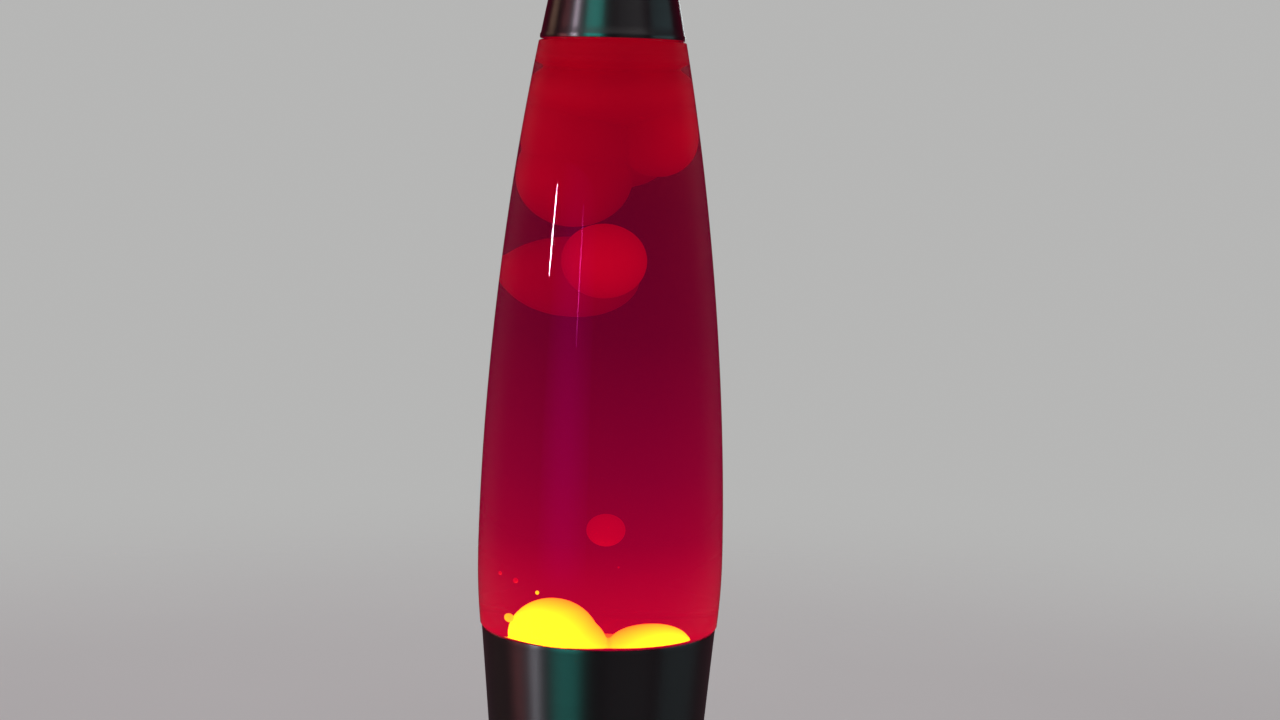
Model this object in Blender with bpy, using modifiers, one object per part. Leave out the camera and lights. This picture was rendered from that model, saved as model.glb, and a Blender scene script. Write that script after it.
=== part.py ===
"""A 400 mm lava lamp: spun cap, sealed glass bottle of liquid and wax, and an hourglass base with its bulb.

Metres, +Z up, the lamp's axis on Z and the table at Z = 0. The front is towards -Y and the cord inlet towards +Y.
"""

import math

import bmesh
import bpy
from mathutils import Matrix, Vector

# Overall driving dimensions
LAMP_HEIGHT = 0.400
RIM_Z = 0.130          # top edge of the base, where the glass comes out of it
CAP_SEAM_Z = 0.3359    # lower edge of the cap
WAIST_Z = 0.052        # narrowest place of the hourglass base
FOOT_EDGE_Z = 0.0015   # lower edge of the foot cone, just clear of the table
GAP = 0.0003           # clearance between pieces that touch

# Sheet metal
SHEET = 0.0009
CAP_SHEET = 0.0008
RIM_RADIUS = 0.0415
BASE_TAPER = 0.088     # radius lost per unit of depth below the rim
FOOT_RADIUS = 0.055
CAP_LIP_RADIUS = 0.02535
CAP_TAPER = 0.193      # radius lost per unit of height
CAP_EDGE = 0.0025      # rounding where the cap's cone meets its flat top

# Glass bottle, as outer radii and heights above the rim
BELLY_RADIUS = 0.0433
BELLY_HEIGHT = 0.024
SHOULDER_RADIUS = 0.02565
HEEL_RADIUS = 0.0421
GLASS_WALL = 0.0030
SPIGOT_RADIUS = 0.0401
SPIGOT_DEPTH = 0.024   # how far the bottle goes down into the base
SPIGOT_EDGE = 0.005
FLOOR_THICKNESS = 0.004
NECK_RADIUS = 0.0129
LIP_RADIUS = 0.0134
MOUTH_RADIUS = 0.0085
NECK_FOOT_HEIGHT = 0.2300
LIP_FOOT_HEIGHT = 0.2355
LIP_TOP_HEIGHT = 0.2410
LIQUID_LINING = 0.0025
LIQUID_LEVEL = 0.2180

# Wax, as centres relative to the rim's centre and half sizes
WAX_FLOOR_RADIUS = 0.0265
WAX_MOUND_RADIUS = 0.0240
WAX_LEFT_HUMP = ((-0.0115, -0.0020, -0.0005), (0.0130, 0.0130, 0.0123))
WAX_RIGHT_HUMP = ((0.0130, 0.0010, -0.0050), (0.0112, 0.0125, 0.0080))
WAX_RISER = ((0.0014, 0.0000, 0.0356), (0.0052, 0.0052, 0.0057))
WAX_FRONT = ((-0.0010, -0.0155, 0.1300), (0.0127, 0.0112, 0.0128))
WAX_BACK = ((-0.0085, 0.0110, 0.1222), (0.0165, 0.0135, 0.0140))
WAX_TOP_LEFT = ((-0.0090, 0.0020, 0.1577), (0.0150, 0.0150, 0.0175))
WAX_TOP_RIGHT = ((0.0122, 0.0000, 0.1745), (0.0120, 0.0125, 0.0165))
WAX_TOP_FILL = ((0.0000, 0.0000, 0.1890), (0.0215, 0.0200, 0.0205))
WAX_BEAD = ((-0.0252, -0.0055, 0.0045), (0.0016, 0.0016, 0.0016))
COIL_RING_RADIUS = 0.0170
COIL_TUBE_RADIUS = 0.0030

# Bulb and lampholder, on the lamp's axis
BULB_Z = 0.0235        # lower end of the bulb's contact
BULB_RADIUS = 0.0195
BULB_LENGTH = 0.066
SCREW_SHELL_RADIUS = 0.0065
HOLDER_RADIUS = 0.0130
HOLDER_Z = 0.0150
HOLDER_HEIGHT = 0.0320
NIPPLE_RADIUS = 0.0050

# Bottom plate and what stands on it
PLATE_Z = 0.0040
PLATE_RADIUS = 0.0522
PLATE_THICKNESS = 0.0015
FOOT_CIRCLE = 0.0440
PAD_RADIUS = 0.0060
PLATE_SCREW_CIRCLE = 0.0480
FLANGE_SCREW_CIRCLE = 0.0285
FLANGE_INNER_RADIUS = 0.0240
BRACKET_HALF_SPAN = 0.0280
BRACKET_WIDTH = 0.0140
BRACKET_SHEET = 0.0012
INLET_Z = 0.0150

# Facets round a turn
LARGE = 36
MEDIUM = 24
SMALL = 14
TINY = 10

METALS = {
    "brushed_aluminium": ((0.62, 0.62, 0.61), 0.32),
    "zinc_steel": ((0.55, 0.56, 0.58), 0.40),
    "steel_wire": ((0.60, 0.60, 0.62), 0.30),
    "brass": ((0.78, 0.60, 0.26), 0.30),
    "nickel": ((0.66, 0.63, 0.58), 0.25),
    "crown_steel": ((0.72, 0.62, 0.32), 0.30),
}
OTHERS = {
    "clear_glass": ((0.90, 0.95, 0.95), 0.04),
    "purple_liquid": ((0.42, 0.01, 0.20), 0.10),
    "red_wax": ((0.85, 0.06, 0.05), 0.45),
    "yellow_wax": ((0.95, 0.78, 0.10), 0.45),
    "black_rubber": ((0.03, 0.03, 0.03), 0.80),
    "cream_ceramic": ((0.85, 0.82, 0.74), 0.50),
    "white_plastic": ((0.85, 0.85, 0.82), 0.45),
    "frosted_glass": ((0.88, 0.88, 0.88), 0.35),
    "seal_liner": ((0.80, 0.78, 0.72), 0.70),
    "brown_insulation": ((0.25, 0.10, 0.04), 0.50),
    "blue_insulation": ((0.04, 0.12, 0.45), 0.50),
    "green_insulation": ((0.10, 0.40, 0.10), 0.50),
    "black_vitrite": ((0.04, 0.04, 0.05), 0.25),
}


# ---- Scene and materials ----

def clear_scene():
    for obj in list(bpy.data.objects):
        bpy.data.objects.remove(obj, do_unlink=True)


def new_collection(name):
    collection = bpy.data.collections.new(name)
    bpy.context.scene.collection.children.link(collection)
    return collection


def material(name):
    found = bpy.data.materials.get(name)
    if found:
        return found
    made = bpy.data.materials.new(name)
    made.use_nodes = True
    shader = made.node_tree.nodes["Principled BSDF"]
    colour, roughness = METALS.get(name) or OTHERS[name]
    shader.inputs["Base Color"].default_value = (*colour, 1)
    shader.inputs["Roughness"].default_value = roughness
    shader.inputs["Metallic"].default_value = 1.0 if name in METALS else 0.0
    return made


# ---- Objects from meshes and curves ----

def add_object(name, data, material_name, place=(0, 0, 0), parent=None):
    obj = bpy.data.objects.new(name, data)
    PARTS.objects.link(obj)
    data.materials.append(material(material_name))
    obj.location = place
    obj.parent = parent
    return obj


def hide(obj):
    """Makes an object a helper: out of the render, drawn as wire, in the cutters' collection."""
    for collection in list(obj.users_collection):
        collection.objects.unlink(obj)
    CUTTERS.objects.link(obj)
    obj.hide_render = True
    obj.display_type = "WIRE"
    return obj


def add_axis(name, place=(0, 0, 0), parent=None):
    """An empty that carries a moving group, standing on its joint's axis."""
    empty = bpy.data.objects.new(name, None)
    PARTS.objects.link(empty)
    empty.location = place
    empty.parent = parent
    return empty


def mesh_from(name, bm):
    mesh = bpy.data.meshes.new(name)
    bm.to_mesh(mesh)
    bm.free()
    return mesh


def smooth(obj, degrees=32):
    obj.data.shade_smooth()
    obj.data.set_sharp_from_angle(angle=math.radians(degrees))


def turned(name, profile, material_name, place=(0, 0, 0), parent=None, facets=LARGE, sheet=None):
    """Turns a profile of (radius, height) points about Z.

    The points run down the outer side and, on a closed profile, back up the inner side. With a sheet
    thickness the profile stays open and the metal is added on its inner side.
    """
    bm = bmesh.new()
    points = [bm.verts.new((radius, 0, height)) for radius, height in profile]
    for start, end in zip(points, points[1:]):
        bm.edges.new((start, end))
    if sheet is None:
        bm.edges.new((points[-1], points[0]))
    obj = add_object(name, mesh_from(name, bm), material_name, place, parent)
    screw = obj.modifiers.new("turn", "SCREW")
    screw.axis = "Z"
    screw.steps = facets
    screw.render_steps = facets
    screw.use_merge_vertices = True
    screw.merge_threshold = 0.00001
    screw.use_smooth_shade = True
    if sheet is not None:
        solidify = obj.modifiers.new("sheet", "SOLIDIFY")
        solidify.thickness = sheet
        solidify.offset = -1
        solidify.use_even_offset = True
    return obj


def prism(name, outline, depth, material_name, place=(0, 0, 0), parent=None, hole=None):
    """A flat outline extruded along Z from its place, with an optional inner outline as a hole."""
    curve = bpy.data.curves.new(name, "CURVE")
    curve.dimensions = "2D"
    curve.fill_mode = "BOTH"
    curve.extrude = depth / 2
    for loop in filter(None, (outline, hole)):
        spline = curve.splines.new("POLY")
        spline.points.add(len(loop) - 1)
        for point, (x, y) in zip(spline.points, loop):
            point.co = (x, y, 0, 1)
        spline.use_cyclic_u = True
    x, y, z = place
    return add_object(name, curve, material_name, (x, y, z + depth / 2), parent)


def wire(name, points, radius, material_name, parent=None, sides=2, cyclic=False):
    curve = bpy.data.curves.new(name, "CURVE")
    curve.dimensions = "3D"
    curve.bevel_depth = radius
    curve.bevel_resolution = sides
    curve.use_fill_caps = not cyclic
    spline = curve.splines.new("POLY")
    spline.points.add(len(points) - 1)
    for point, place in zip(spline.points, points):
        point.co = (*place, 1)
    spline.use_cyclic_u = cyclic
    return add_object(name, curve, material_name, parent=parent)


def ellipsoid(name, centre, half_sizes, material_name, parent=None, rounds=3):
    bm = bmesh.new()
    bmesh.ops.create_icosphere(bm, subdivisions=rounds, radius=1)
    bmesh.ops.scale(bm, vec=half_sizes, verts=bm.verts)
    obj = add_object(name, mesh_from(name, bm), material_name, centre, parent)
    smooth(obj)
    return obj


def rod_cutter(name, start, end, radius, facets=SMALL):
    """A hidden cylinder from one point to another, for holes."""
    start = Vector(start)
    end = Vector(end)
    bm = bmesh.new()
    turn = (end - start).to_track_quat("Z", "Y").to_matrix().to_4x4()
    where = Matrix.Translation((start + end) / 2) @ turn
    bmesh.ops.create_cone(bm, cap_ends=True, segments=facets, radius1=radius, radius2=radius,
                          depth=(end - start).length, matrix=where)
    return hide(add_object(name, mesh_from(name, bm), "zinc_steel"))


def box_mesh(name, size, place, turn=0.0, bevel=0.0):
    bm = bmesh.new()
    bmesh.ops.create_cube(bm, size=1)
    bmesh.ops.scale(bm, vec=size, verts=bm.verts)
    if bevel:
        bmesh.ops.bevel(bm, geom=bm.edges[:], offset=bevel, segments=2, affect="EDGES")
    bmesh.ops.translate(bm, vec=place, verts=bm.verts)
    bmesh.ops.rotate(bm, cent=(0, 0, 0), matrix=Matrix.Rotation(turn, 3, "Z"), verts=bm.verts)
    return mesh_from(name, bm)


def combine(obj, others, operation):
    for other in others:
        boolean = obj.modifiers.new(other.name, "BOOLEAN")
        boolean.operation = operation
        boolean.object = other


def cut(obj, *cutters):
    combine(obj, cutters, "DIFFERENCE")


def join(obj, *additions):
    combine(obj, additions, "UNION")


# ---- Outlines ----

def round_places(count, circle, start_degrees):
    """Points spread evenly round a circle about the lamp's axis."""
    for index in range(count):
        angle = math.radians(start_degrees) + 2 * math.pi * index / count
        yield circle * math.cos(angle), circle * math.sin(angle)


def polygon(sides, radius):
    return list(round_places(sides, radius, 0))


def arc(centre, radius, start_degrees, end_degrees, steps):
    """Points of an arc in the profile's plane, both ends included."""
    for step in range(steps + 1):
        angle = math.radians(start_degrees + (end_degrees - start_degrees) * step / steps)
        yield centre[0] + radius * math.cos(angle), centre[1] + radius * math.sin(angle)


def bezier(p0, p1, p2, p3, steps):
    for step in range(steps + 1):
        t = step / steps
        weights = ((1 - t) ** 3, 3 * (1 - t) ** 2 * t, 3 * (1 - t) * t * t, t ** 3)
        yield tuple(sum(w * p[axis] for w, p in zip(weights, (p0, p1, p2, p3))) for axis in (0, 1))


def base_radius(height):
    """Outer radius of the upper cone at a height above the table."""
    return RIM_RADIUS - BASE_TAPER * (RIM_Z - height)


def bottle_wall(steps_up=9, steps_heel=2):
    """Outer radius and height above the rim, from the shoulder down to the heel."""
    seam = CAP_SEAM_Z - RIM_Z
    upper = list(bezier((SHOULDER_RADIUS, seam - 0.0005), (SHOULDER_RADIUS + 0.0164, seam - 0.0869),
                        (BELLY_RADIUS, BELLY_HEIGHT + 0.0211), (BELLY_RADIUS, BELLY_HEIGHT), steps_up))
    lower = []
    for step in range(1, steps_heel + 1):
        fall = step / steps_heel
        lower.append((BELLY_RADIUS - (BELLY_RADIUS - HEEL_RADIUS) * fall ** 2,
                      BELLY_HEIGHT - (BELLY_HEIGHT - 0.0012) * fall))
    return upper + lower


def bottle_outside():
    """The bottle's outer profile from its lip down to the middle of its underside."""
    seam = CAP_SEAM_Z - RIM_Z
    inside_cap = CAP_LIP_RADIUS - CAP_SHEET - 0.0006
    shoulder = bezier((NECK_RADIUS, NECK_FOOT_HEIGHT), (NECK_RADIUS + 0.0003, NECK_FOOT_HEIGHT - 0.0100),
                      (inside_cap - 0.0012, seam + 0.0090), (inside_cap, seam + 0.0003), 5)
    spigot_low = -SPIGOT_DEPTH + SPIGOT_EDGE
    spigot_radius = SPIGOT_RADIUS - BASE_TAPER * -spigot_low
    edge = arc((spigot_radius - SPIGOT_EDGE, spigot_low), SPIGOT_EDGE, 0, -90, 3)
    profile = [(LIP_RADIUS - 0.0008, LIP_TOP_HEIGHT), (LIP_RADIUS, LIP_TOP_HEIGHT - 0.0012),
               (LIP_RADIUS, LIP_FOOT_HEIGHT + 0.0008), (NECK_RADIUS, LIP_FOOT_HEIGHT)]
    profile += list(shoulder)
    profile += bottle_wall()
    profile += [(SPIGOT_RADIUS, -0.0003)]
    profile += list(edge)
    profile += [(0.022, -SPIGOT_DEPTH + 0.0004), (0.010, -SPIGOT_DEPTH + 0.0020), (0, -SPIGOT_DEPTH + 0.0022)]
    return profile


def bottle_inside():
    """The bottle's inner profile from the middle of its floor up to the mouth."""
    floor = -SPIGOT_DEPTH + FLOOR_THICKNESS
    low_radius = SPIGOT_RADIUS - GLASS_WALL + BASE_TAPER * (floor + SPIGOT_EDGE)
    edge = arc((low_radius - SPIGOT_EDGE, floor + SPIGOT_EDGE), SPIGOT_EDGE, -90, 0, 3)
    wall = [(radius - GLASS_WALL, height) for radius, height in reversed(bottle_wall())]
    seam = CAP_SEAM_Z - RIM_Z
    shoulder = bezier((SHOULDER_RADIUS - GLASS_WALL, seam + 0.0010),
                      (SHOULDER_RADIUS - GLASS_WALL - 0.0012, seam + 0.0090),
                      (MOUTH_RADIUS + 0.0010, NECK_FOOT_HEIGHT - 0.0100),
                      (MOUTH_RADIUS + 0.0005, NECK_FOOT_HEIGHT), 5)
    profile = [(0, floor)]
    profile += list(edge)
    profile += [(SPIGOT_RADIUS - GLASS_WALL, -0.0015)]
    profile += wall
    profile += list(shoulder)
    profile += [(MOUTH_RADIUS, LIP_TOP_HEIGHT - 0.0010), (MOUTH_RADIUS + 0.0003, LIP_TOP_HEIGHT)]
    return profile


def inner_radius(height):
    """Inner radius of the bottle at a height above the rim, along the wall's straight facets."""
    inside = bottle_inside()[1:]
    for (r0, z0), (r1, z1) in zip(inside, inside[1:]):
        if z0 <= height <= z1 and z1 > z0:
            return r0 + (r1 - r0) * (height - z0) / (z1 - z0)
    return MOUTH_RADIUS


# ---- Cap and bottle ----

def make_cap(parent):
    """Spun cone, open below, with a turned-in lip and a flat top."""
    top_radius = CAP_LIP_RADIUS - CAP_TAPER * (LAMP_HEIGHT - CAP_SEAM_Z)
    low = CAP_SEAM_Z + GAP
    lean = math.degrees(math.atan(CAP_TAPER))
    centre = (top_radius - CAP_EDGE * 0.83, LAMP_HEIGHT - CAP_EDGE)
    profile = [(0, LAMP_HEIGHT)]
    profile += list(arc(centre, CAP_EDGE, 90, lean, 4))
    profile += [(CAP_LIP_RADIUS - CAP_TAPER * 0.0022, low + 0.0022), (CAP_LIP_RADIUS, low + 0.0010),
                (CAP_LIP_RADIUS, low)]
    cap = turned("cap_shell", [(r, z - CAP_SEAM_Z) for r, z in profile], "brushed_aluminium",
                 (0, 0, CAP_SEAM_Z), parent, sheet=CAP_SHEET)
    return cap


def make_bottle(parent):
    turned("glass_bottle", bottle_outside() + bottle_inside(), "clear_glass", parent=parent)


def make_liquid(parent):
    """The liquid's outer part, as an open lining that leaves the middle free for the wax."""
    heights = [-0.0160, -0.0015, 0.0012]
    heights += [height for _, height in reversed(bottle_wall()) if 0.0012 < height < 0.2050]
    heights += [0.2066, 0.2110, LIQUID_LEVEL]
    outside = [(inner_radius(height) - GAP, height) for height in heights]
    inside = [(radius - LIQUID_LINING, height) for radius, height in outside]
    turned("liquid_fill", outside[::-1] + inside, "purple_liquid", parent=parent)


def make_closure(parent):
    """A pressed crown closure over the lip, with its sealing disc inside."""
    seal_low = LIP_TOP_HEIGHT + GAP
    seal_top = seal_low + 0.0008
    inside_top = seal_top + GAP
    outside_top = inside_top + 0.0004
    skirt_low = LIP_FOOT_HEIGHT + 0.0006
    turned("crown_seal", [(0, seal_top), (0.0126, seal_top), (0.0126, seal_low), (0, seal_low)],
           "seal_liner", parent=parent, facets=MEDIUM)
    outer = [(0, outside_top), (0.0122, outside_top), (0.0140, outside_top - 0.0010),
             (0.0146, outside_top - 0.0024), (0.0158, skirt_low)]
    inner = [(0.0153, skirt_low), (0.0142, outside_top - 0.0026), (0.0137, outside_top - 0.0012),
             (0.0130, inside_top), (0, inside_top)]
    turned("crown_closure", outer + inner, "crown_steel", parent=parent, facets=MEDIUM)


def make_coil(parent):
    """The heat-spreading wire coil that lies on the bottle's floor, as its outer ring."""
    height = -SPIGOT_DEPTH + FLOOR_THICKNESS + GAP + COIL_TUBE_RADIUS
    centre = (COIL_RING_RADIUS, height)
    ring = list(arc(centre, COIL_TUBE_RADIUS, 90, -270, TINY))[:-1]
    turned("heat_coil", ring, "steel_wire", parent=parent, facets=MEDIUM)


# ---- Wax ----

def make_wax_pool(parent):
    """The mound that lies over the coil, with the two humps that rise from it."""
    floor = -SPIGOT_DEPTH + FLOOR_THICKNESS + GAP
    groove_out = COIL_RING_RADIUS + COIL_TUBE_RADIUS + GAP
    groove_in = COIL_RING_RADIUS - COIL_TUBE_RADIUS - GAP
    groove_top = floor + 2 * COIL_TUBE_RADIUS + GAP
    profile = [(0, -0.0035), (0.010, -0.0037), (0.018, -0.0045), (0.0222, -0.0062), (WAX_MOUND_RADIUS, -0.0085),
               (WAX_FLOOR_RADIUS, -0.0150), (WAX_FLOOR_RADIUS, floor), (groove_out, floor),
               (groove_out, groove_top), (groove_in, groove_top), (groove_in, floor), (0, floor)]
    pool = turned("wax_pool", profile, "yellow_wax", parent=parent, facets=MEDIUM)
    humps = []
    for name, (centre, half_sizes) in (("left_hump", WAX_LEFT_HUMP), ("right_hump", WAX_RIGHT_HUMP)):
        humps.append(hide(ellipsoid(name, centre, half_sizes, "yellow_wax", parent)))
    join(pool, *humps)


def make_wax_top(parent):
    """The cooled wax that fills the shoulder, with the two lobes that hang from it."""
    mass = ellipsoid("wax_top_mass", *WAX_TOP_FILL, "red_wax", parent)
    lobes = []
    for name, (centre, half_sizes) in (("left_lobe", WAX_TOP_LEFT), ("right_lobe", WAX_TOP_RIGHT)):
        lobe = ellipsoid(name, centre, half_sizes, "red_wax", parent)
        lobes.append(hide(lobe))
    join(mass, *lobes)


def make_wax(bottle):
    make_wax_pool(bottle)
    for name, blob in (("wax_riser", WAX_RISER), ("wax_blob_front", WAX_FRONT), ("wax_blob_back", WAX_BACK),
                       ("wax_bead", WAX_BEAD)):
        centre, half_sizes = blob
        axis = add_axis(name + "_slide", centre, bottle)
        rounds = 2 if name == "wax_bead" else 3
        ellipsoid(name, (0, 0, 0), half_sizes, "red_wax", axis, rounds)
    make_wax_top(add_axis("wax_top_slide", parent=bottle))


# ---- Base ----

def make_upper_cone():
    """Spun cone from the rim down to the waist, turned in there as a flange with holes."""
    flange_z = WAIST_Z
    waist_radius = base_radius(flange_z)
    profile = [(RIM_RADIUS - 0.0002, RIM_Z), (RIM_RADIUS, RIM_Z - 0.0006),
               (base_radius(RIM_Z - 0.004), RIM_Z - 0.004), (base_radius(0.095), 0.095),
               (waist_radius + 0.0001, flange_z + 0.0015), (waist_radius - 0.0012, flange_z + 0.0001),
               (FLANGE_INNER_RADIUS, flange_z)]
    cone = turned("base_upper_cone", profile, "brushed_aluminium", sheet=SHEET)
    holes = [rod_cutter(f"upper_flange_hole_{index}", (x, y, flange_z - 0.003), (x, y, flange_z + 0.004), 0.0019)
             for index, (x, y) in enumerate(round_places(3, FLANGE_SCREW_CIRCLE, 90))]
    cut(cone, *holes)


def foot_radius(height):
    """Outer radius of the foot cone at a height above the table."""
    top = WAIST_Z - GAP
    share = (top - height) / (top - FOOT_EDGE_Z)
    return base_radius(WAIST_Z) + (FOOT_RADIUS - base_radius(WAIST_Z)) * share


def make_foot_cone():
    """Spun cone from the waist down to the table, with a flange on top and three lugs for the plate."""
    top = WAIST_Z - GAP
    profile = [(FLANGE_INNER_RADIUS, top), (base_radius(WAIST_Z) - 0.0012, top),
               (foot_radius(top - 0.0012), top - 0.0012), (foot_radius(0.025), 0.025),
               (FOOT_RADIUS, FOOT_EDGE_Z)]
    cone = turned("base_foot_cone", profile, "brushed_aluminium", sheet=SHEET)
    lugs = []
    holes = []
    lug_z = PLATE_Z + PLATE_THICKNESS + GAP
    for index, (x, y) in enumerate(round_places(3, PLATE_SCREW_CIRCLE, 30)):
        turn = math.atan2(y, x)
        lug = add_object(f"plate_lug_{index}",
                         box_mesh("lug", (0.0085, 0.010, 0.0025), (PLATE_SCREW_CIRCLE - 0.0004, 0, lug_z + 0.00125), turn),
                         "brushed_aluminium")
        lugs.append(hide(lug))
        holes.append(rod_cutter(f"lug_hole_{index}", (x, y, lug_z - 0.002), (x, y, lug_z + 0.005), 0.0017))
    for index, (x, y) in enumerate(round_places(3, FLANGE_SCREW_CIRCLE, 90)):
        holes.append(rod_cutter(f"foot_flange_hole_{index}", (x, y, top - 0.004), (x, y, top + 0.003), 0.0019))
    holes.append(inlet_cutter())
    join(cone, *lugs)
    cut(cone, *holes)


def inlet_frame():
    """Place on the foot cone's wall, at the back, and the wall's outward direction there."""
    slope = (FOOT_RADIUS - base_radius(WAIST_Z)) / (WAIST_Z - GAP - FOOT_EDGE_Z)
    outward = Vector((0, 1, slope)).normalized()
    middle = Vector((0, foot_radius(INLET_Z), INLET_Z)) - outward * SHEET / 2
    return middle, outward


def inlet_cutter():
    middle, outward = inlet_frame()
    return rod_cutter("inlet_hole", middle - outward * 0.005, middle + outward * 0.005, 0.0060, MEDIUM)


def make_grommet():
    """Rubber bush in the foot cone's back wall, where the supply cord would enter."""
    bore, neck, flange = 0.0040, 0.0057, 0.0076
    half_groove, half_length = 0.0013, 0.0030
    profile = [(flange - 0.0006, half_length), (flange, half_length - 0.0006), (flange, half_groove),
               (neck, half_groove), (neck, -half_groove), (flange, -half_groove),
               (flange, -half_length + 0.0006), (flange - 0.0006, -half_length), (bore, -half_length),
               (bore, half_length)]
    grommet = turned("cord_grommet", profile, "black_rubber", facets=24)
    middle, outward = inlet_frame()
    grommet.location = middle
    grommet.rotation_euler = outward.to_track_quat("Z", "Y").to_euler()


def make_bottle_seat():
    """Pressed ring inside the upper cone that carries the bottle's underside."""
    top = RIM_Z - SPIGOT_DEPTH - GAP
    outer = base_radius(top - 0.006) - SHEET - 0.0006
    profile = [(outer - 0.0092, top), (outer - 0.0010, top), (outer, top - 0.0010), (outer, top - 0.006)]
    turned("bottle_seat", profile, "zinc_steel", sheet=0.0010)


def make_bottom_plate():
    """Steel disc with air slots and a hole for each screw that passes through it."""
    low = PLATE_Z
    top = PLATE_Z + PLATE_THICKNESS
    plate = turned("bottom_plate", [(0, top), (PLATE_RADIUS, top), (PLATE_RADIUS, low), (0, low)], "zinc_steel")
    slots = []
    for index in range(6):
        turn = math.radians(60 * index)
        mesh = box_mesh("slot", (0.0110, 0.0030, 0.006), (0.0395, 0, PLATE_Z + PLATE_THICKNESS / 2), turn)
        slots.append(hide(add_object(f"air_slot_{index}", mesh, "zinc_steel")))
    holes = []
    spots = list(round_places(3, PLATE_SCREW_CIRCLE, 30)) + [(-BRACKET_SCREW_X, 0), (BRACKET_SCREW_X, 0)]
    for index, (x, y) in enumerate(spots):
        holes.append(rod_cutter(f"plate_hole_{index}", (x, y, low - 0.002), (x, y, top + 0.002), 0.0019))
    cut(plate, *slots, *holes)


def make_feet():
    for index, (x, y) in enumerate(round_places(4, FOOT_CIRCLE, 45)):
        high = PLATE_Z - GAP
        profile = [(0, high), (PAD_RADIUS, high), (PAD_RADIUS, 0.0008), (PAD_RADIUS - 0.0008, 0), (0, 0)]
        turned(f"rubber_foot_{index + 1}", profile, "black_rubber", (x, y, 0), facets=20)


# ---- Fasteners ----

def screw(name, place, length, radius, head_radius, head_height, parent=None, up=True):
    """Pan-head screw standing on its head's flat. Up means that the head is above."""
    way = 1 if up else -1
    profile = [(0, head_height), (head_radius * 0.7, head_height), (head_radius, head_height * 0.4),
               (head_radius, 0), (radius, 0), (radius, -length + 0.0004), (radius - 0.0004, -length), (0, -length)]
    if not up:
        profile = [(r, way * z) for r, z in reversed(profile)]
    return turned(name, profile, "zinc_steel", place, parent, facets=TINY)


def nut(name, place, across_radius, bore, height, material_name="zinc_steel"):
    return prism(name, polygon(6, across_radius), height, material_name, place, hole=polygon(TINY, bore))


def make_flange_fasteners():
    """Three screws with nuts that clamp the two cones together at the waist."""
    head_z = WAIST_Z + SHEET + GAP
    nut_height = 0.0024
    nut_z = WAIST_Z - GAP - SHEET - GAP - nut_height
    for index, (x, y) in enumerate(round_places(3, FLANGE_SCREW_CIRCLE, 90)):
        screw(f"waist_screw_{index + 1}", (x, y, head_z), 0.0060, 0.0015, 0.0028, 0.0018)
        nut(f"waist_nut_{index + 1}", (x, y, nut_z), 0.0032, 0.0019, nut_height)


def make_plate_screws():
    """Three screws from below that hold the bottom plate to the foot cone's lugs."""
    for index, (x, y) in enumerate(round_places(3, PLATE_SCREW_CIRCLE, 30)):
        screw(f"plate_screw_{index + 1}", (x, y, PLATE_Z - GAP), 0.0065, 0.0013, 0.0027, 0.0016, up=False)


# ---- Lampholder and its bracket ----

BRACKET_SCREW_X = BRACKET_HALF_SPAN - 0.0045
BRACKET_TOP_Z = HOLDER_Z - GAP


def make_bracket():
    """Hat-shaped strap that stands on the bottom plate and carries the lampholder."""
    low = PLATE_Z + PLATE_THICKNESS + GAP + BRACKET_SHEET
    high = BRACKET_TOP_Z
    side = [(BRACKET_HALF_SPAN, low), (BRACKET_HALF_SPAN - 0.009, low), (0.0165, high), (0.0, high)]
    path = side + [(-x, z) for x, z in reversed(side[:-1])]
    bm = bmesh.new()
    rows = [[bm.verts.new((x, y, z)) for x, z in path] for y in (-BRACKET_WIDTH / 2, BRACKET_WIDTH / 2)]
    for near, far in zip(zip(rows[0], rows[0][1:]), zip(rows[1], rows[1][1:])):
        bm.faces.new((near[1], near[0], far[0], far[1]))
    bracket = add_object("lampholder_bracket", mesh_from("lampholder_bracket", bm), "zinc_steel")
    solidify = bracket.modifiers.new("sheet", "SOLIDIFY")
    solidify.thickness = BRACKET_SHEET
    solidify.offset = -1
    solidify.use_even_offset = True
    holes = [rod_cutter("nipple_hole", (0, 0, high - 0.004), (0, 0, high + 0.002), NIPPLE_RADIUS + GAP)]
    for index, x in enumerate((-BRACKET_SCREW_X, BRACKET_SCREW_X)):
        holes.append(rod_cutter(f"bracket_hole_{index}", (x, 0, low - 0.004), (x, 0, low + 0.002), 0.0019))
    cut(bracket, *holes)
    for index, x in enumerate((-BRACKET_SCREW_X, BRACKET_SCREW_X)):
        screw(f"bracket_screw_{index + 1}", (x, 0, PLATE_Z - GAP), 0.0060, 0.0015, 0.0028, 0.0016, up=False)
        nut(f"bracket_nut_{index + 1}", (x, 0, low + GAP), 0.0032, 0.0019, 0.0024)


def make_nipple():
    """Threaded tube and nut that fix the lampholder to its bracket."""
    nut_height = 0.0030
    nut_z = BRACKET_TOP_Z - BRACKET_SHEET - GAP - nut_height
    low = nut_z - 0.0005
    high = HOLDER_Z + 0.0036
    profile = [(NIPPLE_RADIUS, high), (NIPPLE_RADIUS, low), (0.0036, low), (0.0036, high)]
    turned("holder_nipple", profile, "zinc_steel", facets=SMALL)
    nut("holder_locknut", (0, 0, nut_z), 0.0082, NIPPLE_RADIUS + 0.0004, nut_height)


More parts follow.
